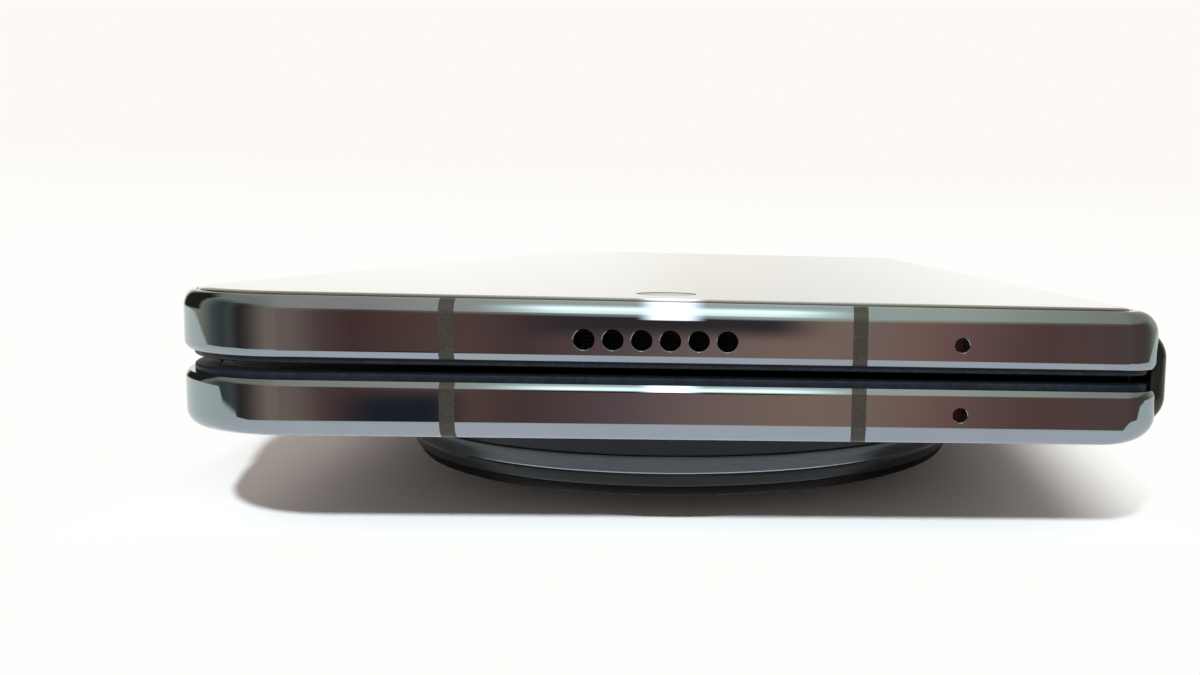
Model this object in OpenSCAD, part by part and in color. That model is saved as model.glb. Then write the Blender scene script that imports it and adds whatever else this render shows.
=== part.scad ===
// A book-style folding phone, closed, lying on its camera bump with the outer display up.
// +Y runs along the hinge away from the top edge, +X points to the hinge and +Z out of the outer display.
// Each half is drawn in its own frame: w is 0 at the inner bezel's plane and grows towards the outer face.

/* [Phone] */
// Width of each half, from its free edge to its hinge edge
half_w = 72; // [70:0.1:74]
// Length along the hinge
body_l = 160; // [156:1:166]
// Thickness of the half that carries the outer display
cover_t = 4.9; // [4.9:0.05:5.2]
// Thickness of the half that carries the cameras
camera_t = 4.5; // [4.5:0.05:4.8]
// Gap between the two inner bezels when the phone is closed
fold_gap = 0.6; // [0.5:0.05:0.7]
// Corner radius in plan, at the free edge
corner_r = 10; // [9:0.5:12]

/* [Frame] */
// Width of the polished bevel round the outer display
cover_bevel_in = 0.75; // [0.5:0.05:0.8]
// Height of the polished bevel round the outer display
cover_bevel_h = 0.75; // [0.5:0.05:0.9]
// Width of the bevel round the back cover
camera_bevel_in = 0.9; // [0.5:0.05:0.9]
// Height of the bevel round the back cover
camera_bevel_h = 1.15; // [0.6:0.05:1.2]
// Chamfer beside the inner bezel
inner_bevel = 0.4; // [0.2:0.05:0.5]
// Thickness of the frame's outer wall
wall = 1.9; // [1.7:0.1:2]
// Distance of each antenna band in the top edge from the middle of a half
band_offset = 14.25; // [12:0.25:18]
// The same in the bottom edge, between the socket and the card tray
far_band_offset = 12.4; // [12:0.1:12.6]
// Width of an antenna band
band_w = 1.05; // [0.8:0.05:1.4]

/* [Hinge] */
// Height of each hinge axis from the plane between the halves
axis_h = 1.4; // [1.35:0.01:1.45]
// How far the spine stands out past the halves' hinge edges
spine_out = 0.9; // [0.8:0.05:0.95]
// Radius of the hinge shafts
shaft_r = 0.25; // [0.2:0.01:0.25]
// Teeth on each timing gear
gear_teeth = 10; // [8:2:12]
// Distance of the end hinge modules from the middle module
module_pitch = 58; // [40:1:62]

/* [Camera bump] */
// Distance of the bump's centre from the top edge
bump_back = 35; // [34:0.5:40]
// Height of the bump below the back cover
bump_h = 6.2; // [5.8:0.1:6.6]
// Radius of the skirt where it meets the back cover
skirt_r = 28; // [27.8:0.1:29]
// Radius of the metal ring where it meets the skirt
ring_r = 27.3; // [27:0.1:27.6]

/* [Controls] */
// How far the buttons stand out of the free edge
button_proud = 0.3; // [0.2:0.05:0.4]
// Distance of the power button's middle from the phone's middle, towards the top
power_y = 10; // [6:1:14]
// Length of the power button
power_l = 12; // [9:0.5:14]
// Distance of the volume button's middle from the phone's middle, towards the top
volume_y = 34; // [32:1:40]
// Length of the volume button
volume_l = 20; // [16:0.5:22]
// Width of the card tray's front
tray_w = 10.6; // [10.2:0.1:10.8]

/* [Hidden] */
$fn = 64;

// Plan: the button faces and the spine's face are equally far from X = 0
total_w = button_proud + half_w + spine_out;
x_free = button_proud - total_w / 2;
x_edge = x_free + half_w;
half_l = body_l / 2;
eps = 0.01;

// Heights
camera_lip_z = bump_h + camera_t;
cover_lip_z = camera_lip_z + fold_gap;
fold_z = camera_lip_z + fold_gap / 2;

// Layers of each half, as w
lip_h = 0.5;
lip_inset = 0.6;
display_recess = 0.1;
plate_h = 0.5;
bay_w = lip_h + plate_h;
glass_t = 0.6;
glass_proud = 0.2;
glass_ledge_w = cover_t - glass_t - 0.1;
panel_t = 0.7;
panel_w = glass_ledge_w - panel_t + 0.05;
back_t = 0.5;
back_ledge_w = camera_t - back_t - 0.05;
cover_top_w = cover_t - glass_proud;
camera_top_w = camera_t - 0.05;
glass_inset = 0.85;
glass_x = x_edge - 1.9;
glass_r = 2.5;
back_inset = 0.95;
back_x = x_edge - 2.6;
bevel_steps = 5;

// Middle of the outer glass, which the ports and both cameras are in line with
x_mid = (x_free + glass_inset + glass_x) / 2;

// Hinge
roll_gap = 0.08;
roll_r = axis_h - roll_gap;
axis_x = x_edge - roll_r;
axis_w = axis_h - fold_gap / 2;
spine_r = x_edge + spine_out - axis_x;
spine_wall = 0.45;
spine_cut = 0.75;
pocket_r = spine_r + 0.1;
pocket_l = body_l - 2 * (wall - 0.05);
spine_l = pocket_l - 0.3;
rail_x = x_edge - 10.1;
fold_x = x_edge - 6;
knuckle_r = 0.6;
knuckle_l = 9.6;
gear_l = 2.8;
ear_l = 1.4;
ear_gap = 0.2;
leaf_t = 0.65;
leaf_l = 7.6;
leaf_screw_x = x_edge - 7;
leaf_screw_y = 2.6;
running = 0.03;
module_ys = [-module_pitch, 0, module_pitch];

// Timing gears: four in a row between the two axes
gear_pitch_r = axis_h / 3;
gear_tip_r = gear_pitch_r * 1.15;
gear_root_r = gear_pitch_r * 0.8;
pin_r = 0.15;

// Display
display_x0 = x_free + 2.5;
display_l = 2 * (half_l - 1.8);
display_r = corner_r - 2.5;
fold_t = 0.35;
fold_half = 0.4;
fold_bulge = 0.85;
fold_apex_x = axis_x - (axis_h - fold_half);
fold_steps = 8;

// Ports in the two end walls
speaker_pitch = 1.98;
speaker_r = 0.72;
speaker_holes = 6;
speaker_w = cover_t - 2.85;
mic_r = 0.52;
mic_x = x_mid + 21.5;
cover_mic_w = cover_t - 2.8;
camera_mic_w = camera_t - 2.2;
bottom_speaker_x = x_mid - 19;
bottom_mic_x = x_mid - 8.7;
usb_w = 8.9;
usb_h = 2.8;
usb_mid_w = bay_w + 0.05 + usb_h / 2;
tray_x = x_mid + 19.3;
tray_h = 1.7;
tray_depth = 15;
tray_mid_w = 2.35;
button_h = 1.9;
button_mid_w = 2.4;
button_gap = 0.08;
flange_t = 0.25;
power_gap = 0.3;
volume_gap = 0.3;
bead_r = 0.3;
key_travel = 0.25;

// Camera bump, as w
ring_top_w = camera_t + 2.6;
ring_edge_w = camera_t + 4.1;
ring_end_w = camera_t + 5.4;
bump_end_w = camera_t + bump_h;
bump_y = bump_back - half_l;
bump_inner_r = 23.2;
bump_hole_r = 26.3;
front_camera_y = 7.3 - half_l;
inner_camera_x = x_mid - 25;
inner_camera_y = 6 - half_l;
// Each lens as [x, y, radius], from the bump's centre
lens_main = [-10.8, 5.6, 8];
lens_wide = [10.8, 5.6, 7.2];
lens_tele = [0, -12.6, 7.2];
lens_flash = [0, 16.6, 2.2];

// Colours
polished = [0.36, 0.33, 0.34];
band_grey = [0.3, 0.29, 0.27];
bezel_black = [0.05, 0.06, 0.08];
glass_black = [0.07, 0.08, 0.1];
ring_teal = [0.35, 0.39, 0.41];
steel = [0.66, 0.67, 0.68];
board_green = [0.1, 0.3, 0.2];
cell_grey = [0.24, 0.25, 0.28];
copper = [0.72, 0.45, 0.2];
gold = [0.83, 0.66, 0.3];

module in_cover() {
    translate([0, 0, cover_lip_z]) children();
}

module in_camera() {
    translate([0, 0, camera_lip_z]) mirror([0, 0, 1]) children();
}

// A section drawn as [x, w], run along Y
module along_y(y0, y1) {
    translate([0, y1, 0]) rotate([90, 0, 0]) linear_extrude(y1 - y0) children();
}

// A section drawn as [y, w], run along X
module along_x(x0, x1) {
    translate([x0, 0, 0]) rotate([90, 0, 90]) linear_extrude(x1 - x0) children();
}

// A slab wider and longer than the phone
module slab(w0, w1) {
    translate([-half_w, -body_l, w0]) cube([2 * half_w, 2 * body_l, w1 - w0]);
}

module box(x0, x1, y0, y1, w0, w1) {
    translate([x0, y0, w0]) cube([x1 - x0, y1 - y0, w1 - w0]);
}

module rod(x, w, r, y0, y1) {
    translate([x, y1, w]) rotate([90, 0, 0]) cylinder(r = r, h = y1 - y0);
}

// A plate with radius r0 at its free edge and r1 at its hinge edge
module plate(x0, x1, yh, r0, r1, w0, w1) {
    translate([0, 0, w0]) linear_extrude(w1 - w0) {
        translate([x0 + r0, -yh]) square([x1 - r1 - x0 - r0, 2 * yh]);
        translate([x0, r0 - yh]) square([r0 + eps, 2 * (yh - r0)]);
        translate([x1 - r1 - eps, r1 - yh]) square([r1 + eps, 2 * (yh - r1)]);
        for (s = [-1, 1]) {
            translate([x0 + r0, s * (yh - r0)]) circle(r0);
            translate([x1 - r1, s * (yh - r1)]) circle(r1);
        }
    }
}

// A slot with round ends, standing in an end wall
module end_slot(x, w, slot_w, slot_h, y0, y1) {
    r = slot_h / 2;
    rod(x - slot_w / 2 + r, w, r, y0, y1);
    rod(x + slot_w / 2 - r, w, r, y0, y1);
    box(x - slot_w / 2 + r, x + slot_w / 2 - r, y0, y1, w - r, w + r);
}

// A slot with round ends, standing in the free edge
module side_slot(y, w, slot_l, slot_h, x0, x1) {
    r = slot_h / 2;
    for (s = [-1, 1])
        translate([x0, y + s * (slot_l / 2 - r), w]) rotate([0, 90, 0]) cylinder(r = r, h = x1 - x0);
    box(x0, x1, y - slot_l / 2 + r, y + slot_l / 2 - r, w - r, w + r);
}

// The outer edge as [inset, w], from the inner bezel to the outer face
function edge_points(top, bevel_in, bevel_h) = concat(
    [[lip_inset, 0], [lip_inset - 0.1, lip_h], [inner_bevel, lip_h], [0, lip_h + inner_bevel]],
    [for (i = [0:bevel_steps]) let (a = 90 * i / bevel_steps)
        [bevel_in * (1 - cos(a)), top - bevel_h * (1 - sin(a))]]
);

// The hinge edge as [x, w]: an arc about the hinge axis, then the outer corner
function hinge_points(top, out_x, out_h) = concat(
    [for (i = [0:bevel_steps]) let (a = asin(axis_w / roll_r) * (1 - i / bevel_steps))
        [axis_x + roll_r * cos(a), axis_w - roll_r * sin(a)]],
    [for (i = [0:bevel_steps]) let (a = 90 * i / bevel_steps)
        [x_edge - out_x * (1 - cos(a)), top - out_h * (1 - sin(a))]]
);

function reversed(points) = [for (i = [len(points) - 1:-1:0]) points[i]];

// The whole outer form of one half
module half_form(top, bevel_in, bevel_h, out_x, out_h) {
    edge = edge_points(top, bevel_in, bevel_h);
    x0 = x_free + corner_r;
    plan_r = 1.5;
    intersection() {
        along_y(-half_l, half_l)
            polygon(concat([[x0, 0]], hinge_points(top, out_x, out_h), [[x0, top]]));
        along_x(x0, x_edge)
            polygon(concat([for (p = edge) [p[0] - half_l, p[1]]],
                reversed([for (p = edge) [half_l - p[0], p[1]]])));
        plate(x0 - plan_r, x_edge, half_l, plan_r, plan_r, -1, top + 1);
    }
    along_y(corner_r - half_l, half_l - corner_r)
        polygon(concat([for (p = edge) [x_free + p[0], p[1]]], [[x0 + eps, top], [x0 + eps, 0]]));
    for (s = [0, 1]) mirror([0, s, 0])
        translate([x0, half_l - corner_r, 0]) rotate([0, 0, 90]) rotate_extrude(angle = 90)
            polygon(concat([[0, 0]], [for (p = edge) [corner_r - p[0], p[1]]], [[0, top]]));
}

module cover_form() {
    half_form(cover_top_w, cover_bevel_in, cover_bevel_h, 1.7, 1.7);
}

module camera_form() {
    half_form(camera_top_w, camera_bevel_in, camera_bevel_h, 2.7, 2);
}

// Both antenna bands at both ends, cut from what they are given
module band_slots() {
    for (side = [-1, 1]) {
        translate([x_mid + side * band_offset - band_w / 2, -half_l - 0.7, lip_h - eps])
            cube([band_w, 2, 9]);
        translate([x_mid + side * far_band_offset - band_w / 2, half_l - 1.3, lip_h - eps])
            cube([band_w, 2, 9]);
    }
}

// What both frames lose: bay, hinge pocket, room for the fold, leaf seats and screw holes
module common_cuts() {
    plate(x_free + wall, rail_x, half_l - wall, corner_r - wall, 1, bay_w, 9);
    rod(axis_x, axis_w, pocket_r, -pocket_l / 2, pocket_l / 2);
    box(axis_x, x_edge + 1, -pocket_l / 2, pocket_l / 2, axis_w, axis_w + pocket_r);
    box(fold_x, axis_x, -display_l / 2, display_l / 2, 0, bay_w);
    for (y = module_ys) {
        box(rail_x - eps, axis_x - 1, y - leaf_l / 2 - 0.1, y + leaf_l / 2 + 0.1, bay_w, bay_w + 2.2);
        for (s = [-1, 1])
            translate([leaf_screw_x, y + s * leaf_screw_y, lip_h + 0.1]) cylinder(r = 0.5, h = 1);
    }
}

module cover_frame() {
    color(polished) in_cover() difference() {
        intersection() {
            cover_form();
            slab(lip_h, 9);
        }
        common_cuts();
        plate(x_free + glass_inset, glass_x, half_l - glass_inset, corner_r - glass_inset, glass_r,
            glass_ledge_w, 9);
        plate(x_free + wall, x_edge - 3.2, half_l - wall, corner_r - wall, 1.5, panel_w - 0.05, 9);
        band_slots();
        for (i = [0:speaker_holes - 1])
            rod(x_mid + (i - (speaker_holes - 1) / 2) * speaker_pitch, speaker_w, speaker_r,
                -half_l - 1, wall - half_l + 1);
        rod(mic_x, cover_mic_w, mic_r, -half_l - 1, wall - half_l + 1);
    }
}

module cover_antenna_inserts() {
    color(band_grey) in_cover() difference() {
        intersection() {
            cover_form();
            band_slots();
        }
        slab(-1, lip_h);
        plate(x_free + glass_inset, glass_x, half_l - glass_inset, corner_r - glass_inset, glass_r,
            glass_ledge_w, 9);
    }
}

module cover_glass() {
    gap = 0.05;
    edge = 0.15;
    color(glass_black) in_cover() {
        plate(x_free + glass_inset + gap, glass_x - gap, half_l - glass_inset - gap,
            corner_r - glass_inset - gap, glass_r, cover_t - glass_t, cover_t - edge);
        plate(x_free + glass_inset + gap + edge, glass_x - gap - edge, half_l - glass_inset - gap - edge,
            corner_r - glass_inset - gap - edge, glass_r - edge, cover_t - edge - eps, cover_t);
    }
}

// A flat ring just inside a frame's ledge
module gasket(inset, x1, r1, w0, w1) {
    width = 0.8;
    difference() {
        plate(x_free + inset + 0.1, x1 - 0.1, half_l - inset - 0.1, corner_r - inset - 0.1, r1, w0, w1);
        plate(x_free + inset + width, x1 - width, half_l - inset - width, corner_r - inset - width, r1 / 2,
            w0 - 1, w1 + 1);
    }
}

module cover_gasket() {
    color(bezel_black) in_cover()
        gasket(glass_inset, glass_x, glass_r, glass_ledge_w, cover_t - glass_t);
}

module cover_display_panel() {
    inset = wall + 0.15;
    color([0.1, 0.1, 0.13]) in_cover() difference() {
        plate(x_free + inset, x_edge - 3.4, half_l - inset, corner_r - inset, 1.4,
            panel_w, panel_w + panel_t);
        translate([x_mid, front_camera_y, 0]) cylinder(r = 2.2, h = 9);
    }
}

module cover_camera() {
    color([0.15, 0.15, 0.17]) in_cover() translate([x_mid, front_camera_y, 0]) {
        translate([-2.6, -1.6, bay_w]) cube([5.2, 4.2, 2]);
        translate([0, 0, bay_w]) cylinder(r = 1.6, h = 2.9);
        translate([0, 0, bay_w + 2.5]) cylinder(r = 2, h = 0.7);
    }
}

module speaker_module(x0, x1, y0, y1) {
    box(x0, x1, y0, y1, bay_w, bay_w + 2.2);
    box(x0 + 1, x1 - 1, y1 - eps, y1 + 0.6, bay_w + 0.4, bay_w + 1.8);
}

module top_speaker() {
    color([0.12, 0.12, 0.13]) in_cover()
        speaker_module(x_mid - 8, x_mid + 8, wall + 0.2 - half_l, wall + 1.9 - half_l);
}

module top_speaker_mesh() {
    half_row = (speaker_holes + 0.4) * speaker_pitch / 2;
    color([0.2, 0.2, 0.2]) in_cover()
        box(x_mid - half_row, x_mid + half_row, wall - half_l, wall + 0.15 - half_l,
            speaker_w - 1, speaker_w + 1);
}

module microphone(x, w, end) {
    mirror([0, end, 0]) {
        box(x - 1.6, x + 1.6, wall - half_l, wall + 2.2 - half_l, w - 0.9, w + 0.9);
        box(x - 0.9, x + 0.9, wall + 2.2 - half_l, wall + 3 - half_l, w - 0.6, w + 0.6);
    }
}

module cover_microphone() {
    color(gold) in_cover() microphone(mic_x, cover_mic_w, 0);
}

module battery(x0, x1, y0, y1, w1) {
    plate_y = (y0 + y1) / 2;
    translate([0, plate_y, 0]) plate(x0, x1, (y1 - y0) / 2, 2, 2, bay_w + 0.05, w1);
    translate([x0, y0, 0]) box(6, 22, -3, 1, bay_w + 0.4, w1 - 0.5);
}

module cover_battery() {
    color(cell_grey) in_cover() battery(x_free + 3.2, rail_x - 1.4, -36, 60, panel_w - 0.2);
}

module cover_board() {
    color(board_green) in_cover() {
        difference() {
            box(x_free + 12, rail_x - 1.5, -72, -40, bay_w + 0.1, bay_w + 0.7);
            translate([x_mid, front_camera_y, 0]) cylinder(r = 4.6, h = 9);
        }
        for (i = [0:3])
            box(x_free + 16 + i * 11, x_free + 23 + i * 11, -64, -52, bay_w + 0.7 - eps, bay_w + 1.7);
    }
}

module vibration_motor() {
    color(steel) in_cover() translate([x_mid, 69, bay_w]) {
        translate([-9, -3, 0]) cube([18, 6, 2.2]);
        translate([-3, 2.9, 0.3]) cube([6, 2, 0.5]);
    }
}

// Bar magnets along the free edge, at the given places
module magnets(ys) {
    for (y = ys)
        box(x_free + wall + 0.15, x_free + wall + 1.2, y - 5, y + 5, bay_w, bay_w + 2);
}

module cover_magnets() {
    color(steel) in_cover() magnets([-58, -20, 20, 54]);
}

module inner_display() {
    plate(display_x0 + 0.05, fold_x - 0.05, display_l / 2 - 0.05, display_r, 0.5, display_recess, lip_h);
}

module inner_display_cover() {
    color([0.08, 0.08, 0.1]) in_cover() inner_display();
}

module inner_bezel() {
    difference() {
        children();
        plate(display_x0, x_edge + 9, display_l / 2, display_r, 0.5, -1, lip_h + 1);
        slab(lip_h, 9);
    }
}

module inner_bezel_cover() {
    color(bezel_black) in_cover() inner_bezel() cover_form();
}

// A timing gear's outline
module gear_outline() {
    pitch = 360 / gear_teeth;
    polygon([for (i = [0:gear_teeth - 1]) each [
        for (q = [[-0.30, gear_root_r], [-0.13, gear_tip_r], [0.13, gear_tip_r], [0.30, gear_root_r]])
            [q[1] * cos((i + q[0]) * pitch), q[1] * sin((i + q[0]) * pitch)]
    ]]);
}

module gear(x, z, turn, bore, y0, y1) {
    translate([x, y1, z]) rotate([90, 0, 0]) linear_extrude(y1 - y0) difference() {
        rotate(turn) gear_outline();
        circle(bore);
    }
}

// One hinge leaf with its knuckle and fixed gear, in a half's frame
module hinge_leaf(turn) {
    y0 = -knuckle_l / 2;
    gear_y = knuckle_l / 2 - gear_l;
    difference() {
        union() {
            rod(axis_x, axis_w, knuckle_r, y0, gear_y);
            box(rail_x + 1.2, axis_x - knuckle_r, -leaf_l / 2, leaf_l / 2, bay_w, bay_w + leaf_t);
            box(axis_x - knuckle_r - eps, axis_x, -leaf_l / 2, gear_y, bay_w, bay_w + leaf_t);
        }
        rod(axis_x, axis_w, shaft_r, -9, 9);
        for (s = [-1, 1])
            translate([leaf_screw_x, s * leaf_screw_y, 0]) cylinder(r = 0.5, h = 3);
    }
    gear(axis_x, axis_w, turn, shaft_r, gear_y - eps, knuckle_l / 2);
}

module hinge_leaves(turn) {
    for (y = module_ys) translate([0, y, 0]) hinge_leaf(turn);
}

module cover_hinge_leaves() {
    color(steel) in_cover() hinge_leaves(90 + 180 / gear_teeth);
}

module hinge_shafts() {
    end = knuckle_l / 2 + ear_gap + ear_l + 1.4;
    for (y = module_ys) rod(axis_x, axis_w, shaft_r, y - end, y + end);
}

module cover_hinge_shafts() {
    color(steel) in_cover() hinge_shafts();
}

module leaf_screws() {
    for (y = module_ys, s = [-1, 1]) translate([leaf_screw_x, y + s * leaf_screw_y, 0]) difference() {
        union() {
            translate([0, 0, lip_h + 0.15]) cylinder(r = 0.5, h = 1.2);
            translate([0, 0, bay_w + leaf_t]) cylinder(r = 1, h = 0.5);
        }
        translate([-0.7, -0.12, bay_w + leaf_t + 0.25]) cube([1.4, 0.24, 1]);
        translate([-0.12, -0.7, bay_w + leaf_t + 0.25]) cube([0.24, 1.4, 1]);
    }
}

module cover_screws() {
    color(steel) in_cover() leaf_screws();
}

module camera_frame() {
    color(polished) in_camera() difference() {
        intersection() {
            camera_form();
            slab(lip_h, 9);
        }
        common_cuts();
        plate(x_free + back_inset, back_x, half_l - back_inset, corner_r - back_inset, glass_r,
            back_ledge_w, 9);
        band_slots();
        rod(mic_x, camera_mic_w, mic_r, -half_l - 1, wall - half_l + 1);
        rod(bottom_mic_x, camera_mic_w, mic_r, half_l - wall - 1, half_l + 1);
        for (i = [0:speaker_holes - 1])
            rod(bottom_speaker_x + (i - (speaker_holes - 1) / 2) * speaker_pitch, usb_mid_w, speaker_r,
                half_l - wall - 1, half_l + 1);
        end_slot(x_mid, usb_mid_w, usb_w, usb_h, half_l - wall - 1, half_l + 1);
        end_slot(tray_x, tray_mid_w, tray_w, tray_h, half_l - wall - 1, half_l + 1);
        side_slot(-power_y, button_mid_w, power_l, button_h, x_free - 1, x_free + wall + 1);
        side_slot(-volume_y, button_mid_w, volume_l, button_h, x_free - 1, x_free + wall + 1);
        translate([inner_camera_x, inner_camera_y, 0]) cylinder(r = 1.9, h = 3);
    }
}

module camera_antenna_inserts() {
    color(band_grey) in_camera() difference() {
        intersection() {
            camera_form();
            band_slots();
        }
        slab(-1, lip_h);
        plate(x_free + back_inset, back_x, half_l - back_inset, corner_r - back_inset, glass_r,
            back_ledge_w, 9);
    }
}

module back_cover() {
    gap = 0.05;
    color([0.13, 0.17, 0.2]) in_camera() difference() {
        plate(x_free + back_inset + gap, back_x - gap, half_l - back_inset - gap,
            corner_r - back_inset - gap, glass_r, camera_t - back_t, camera_t);
        translate([x_mid, bump_y, 0]) cylinder(r = bump_hole_r, h = 9);
    }
}

module back_gasket() {
    color(bezel_black) in_camera() gasket(back_inset, back_x, glass_r, back_ledge_w, camera_t - back_t);
}

module at_bump() {
    in_camera() translate([x_mid, bump_y, 0]) children();
}

module bump_base() {
    skirt_in_r = 25.2;
    color([0.08, 0.13, 0.16]) at_bump() rotate_extrude($fn = 96) polygon([
        [skirt_in_r, back_ledge_w], [bump_hole_r - 0.1, back_ledge_w], [bump_hole_r - 0.1, camera_t],
        [skirt_r, camera_t], [skirt_r - 0.15, camera_t + 0.4],
        [ring_r - 0.1, ring_top_w], [skirt_in_r, ring_top_w]
    ]);
}

module bump_ring() {
    color(ring_teal) at_bump() rotate_extrude($fn = 96) polygon([
        [bump_inner_r, ring_top_w], [ring_r - 0.1, ring_top_w], [ring_r, ring_top_w + 0.1],
        [ring_r - 0.15, ring_top_w + 0.8], [ring_r - 0.6, ring_edge_w - 0.05],
        [ring_r - 0.75, ring_edge_w + 0.08], [ring_r - 1.2, ring_end_w - 0.5],
        [ring_r - 1.75, ring_end_w], [bump_inner_r, ring_end_w]
    ]);
}

module bump_glass() {
    edge_r = ring_r - 2;
    color(glass_black) at_bump() rotate_extrude($fn = 96) polygon([
        [0, ring_end_w], [edge_r, ring_end_w], [edge_r, ring_end_w + 0.25],
        [edge_r - 0.45, bump_end_w - 0.15], [edge_r - 1.1, bump_end_w], [0, bump_end_w]
    ]);
}

// A camera module: square base in the bay, barrel up to the bump's glass
module camera_module(lens, base) {
    translate([lens[0], lens[1], 0]) {
        translate([-base / 2, -base / 2, bay_w + 0.05]) cube([base, base, 4.5]);
        translate([0, 0, bay_w + 1]) cylinder(r = lens[2] - 0.9, h = ring_end_w - 0.5 - bay_w - 1);
        translate([0, 0, ring_end_w - 1.6]) cylinder(r = lens[2], h = 1.5);
    }
}

module main_camera() {
    color([0.14, 0.14, 0.16]) at_bump() camera_module(lens_main, 13);
}

module wide_camera() {
    color([0.14, 0.14, 0.16]) at_bump() camera_module(lens_wide, 11);
}

module tele_camera() {
    color([0.14, 0.14, 0.16]) at_bump() camera_module(lens_tele, 12);
}

module camera_flash() {
    color([0.9, 0.88, 0.7]) at_bump() translate([lens_flash[0], lens_flash[1], 0]) {
        translate([0, 0, bay_w + 2]) cylinder(r = 1.5, h = ring_end_w - 3.4 - bay_w + 1);
        translate([0, 0, ring_end_w - 1.2]) cylinder(r = lens_flash[2], h = 1.1);
    }
}

module main_board() {
    color(board_green) in_camera() difference() {
        box(x_free + 4, rail_x - 1.5, 6 - half_l, -14, bay_w + 0.1, bay_w + 0.8);
        for (lens = [lens_main, lens_wide, lens_tele])
            translate([x_mid + lens[0] - 7, bump_y + lens[1] - 7, 0]) cube([14, 14, 9]);
        box(x_free, rail_x, -half_l - 1, 10 - half_l, 0, 9);
    }
}

module board_shields() {
    w0 = bay_w + 0.8;
    color(steel) in_camera() {
        box(x_free + 6, x_free + 15, -68, -54, w0, w0 + 1.3);
        box(x_free + 6, x_free + 15, -52, -38, w0, w0 + 1.3);
        box(x_free + 6, x_free + 15, -36, -18, w0, w0 + 1.3);
        box(rail_x - 7.6, rail_x - 2, -66, -50, w0, w0 + 1.3);
        box(rail_x - 7.6, rail_x - 2, -48, -24, w0, w0 + 1.3);
        box(x_mid - 12, x_mid + 14, -21.5, -15, w0, w0 + 1.3);
    }
}

module main_battery() {
    color(cell_grey) in_camera() battery(x_free + 5.5, rail_x - 1.4, -8, 60, 3.3);
}

module charging_coil() {
    color(copper) in_camera() translate([x_mid, 26, 3.4]) {
        for (r = [10:2:20]) difference() {
            cylinder(r = r + 1.7, h = 0.35);
            translate([0, 0, -1]) cylinder(r = r, h = 3);
        }
        for (s = [-1, 1]) translate([s * 2 - 0.5, 10.5, 0]) cube([1, 24, 0.35]);
    }
}

module usb_port() {
    wall_t = 0.25;
    y1 = half_l - 0.15;
    color(steel) in_camera() {
        difference() {
            end_slot(x_mid, usb_mid_w, usb_w - 0.1, usb_h - 0.1, half_l - 7.4, y1);
            end_slot(x_mid, usb_mid_w, usb_w - 0.1 - 2 * wall_t, usb_h - 0.1 - 2 * wall_t,
                half_l - 6.8, y1 + 1);
        }
        box(x_mid - 3.3, x_mid + 3.3, half_l - 7, half_l - 1.6, usb_mid_w - 0.35, usb_mid_w + 0.35);
    }
}

module bottom_speaker() {
    color([0.12, 0.12, 0.13]) in_camera() mirror([0, 1, 0])
        speaker_module(x_free + 10, bottom_speaker_x + 8, wall + 0.2 - half_l, wall + 12 - half_l);
}

module bottom_speaker_mesh() {
    half_row = (speaker_holes + 0.4) * speaker_pitch / 2;
    color([0.2, 0.2, 0.2]) in_camera()
        box(bottom_speaker_x - half_row, bottom_speaker_x + half_row, half_l - wall - 0.15, half_l - wall,
            usb_mid_w - 1, usb_mid_w + 1);
}

module camera_microphones() {
    color(gold) in_camera() {
        microphone(mic_x, camera_mic_w, 0);
        microphone(bottom_mic_x, camera_mic_w, 1);
    }
}

module sim_reader() {
    guide_w = tray_w + 0.2;
    y0 = half_l - wall - tray_depth - 0.4;
    y1 = half_l - wall - 0.1;
    color(steel) in_camera() difference() {
        box(tray_x - guide_w / 2 - 0.4, tray_x + guide_w / 2 + 0.4, y0 - 0.4, y1, bay_w + 0.1, bay_w + 2.5);
        box(tray_x - guide_w / 2, tray_x + guide_w / 2, y0, y1 + 1, bay_w + 0.35, bay_w + 2.2);
    }
}

module sim_tray() {
    gap = 0.08;
    front = 1.2;
    y0 = half_l - front - tray_depth;
    color(polished) in_camera() {
        end_slot(tray_x, tray_mid_w, tray_w - 2 * gap, tray_h - 2 * gap, half_l - front, half_l);
        difference() {
            box(tray_x - tray_w / 2 + 0.9, tray_x + tray_w / 2 - 0.9, y0, half_l - front + eps,
                tray_mid_w - 0.4, tray_mid_w + 0.4);
            box(tray_x - 4.4, tray_x + 4.4, y0 + 1, y0 + 13.3, tray_mid_w - 0.25, tray_mid_w + 9);
            box(tray_x - 3.6, tray_x + 3.6, y0 + 1.8, y0 + 12.5, tray_mid_w - 9, tray_mid_w);
        }
    }
}

// gap is the room between the inner flange and the wall, which a rocking button needs
module side_button(y, length, gap) {
    back_x = x_free + wall + gap;
    x0 = x_free - button_proud;
    side_slot(y, button_mid_w, length - 2 * button_gap, button_h - 2 * button_gap, x0 + 0.15, back_x + eps);
    side_slot(y, button_mid_w, length - 2 * button_gap - 0.3, button_h - 2 * button_gap - 0.3, x0, x0 + 0.2);
    box(back_x, back_x + flange_t, y - length / 2 - 0.5, y + length / 2 + 0.5,
        button_mid_w - button_h / 2 - 0.3, button_mid_w + button_h / 2 + 0.3);
}

module power_button() {
    color(polished) in_camera() side_button(-power_y, power_l, power_gap);
}

// The volume button rocks on an upright bead behind its middle
module volume_button() {
    flange_back = x_free + wall + volume_gap + flange_t;
    color(polished) in_camera() {
        side_button(-volume_y, volume_l, volume_gap);
        translate([flange_back, -volume_y, button_mid_w - 0.9]) cylinder(r = bead_r, h = 1.8);
    }
}

module key_switch(y, x0) {
    translate([x0, y, button_mid_w]) {
        rotate([0, 90, 0]) cylinder(r = 0.8, h = 0.3);
        translate([0.25, -1.5, -1.1]) cube([0.6, 3, 2.2]);
    }
}

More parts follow.
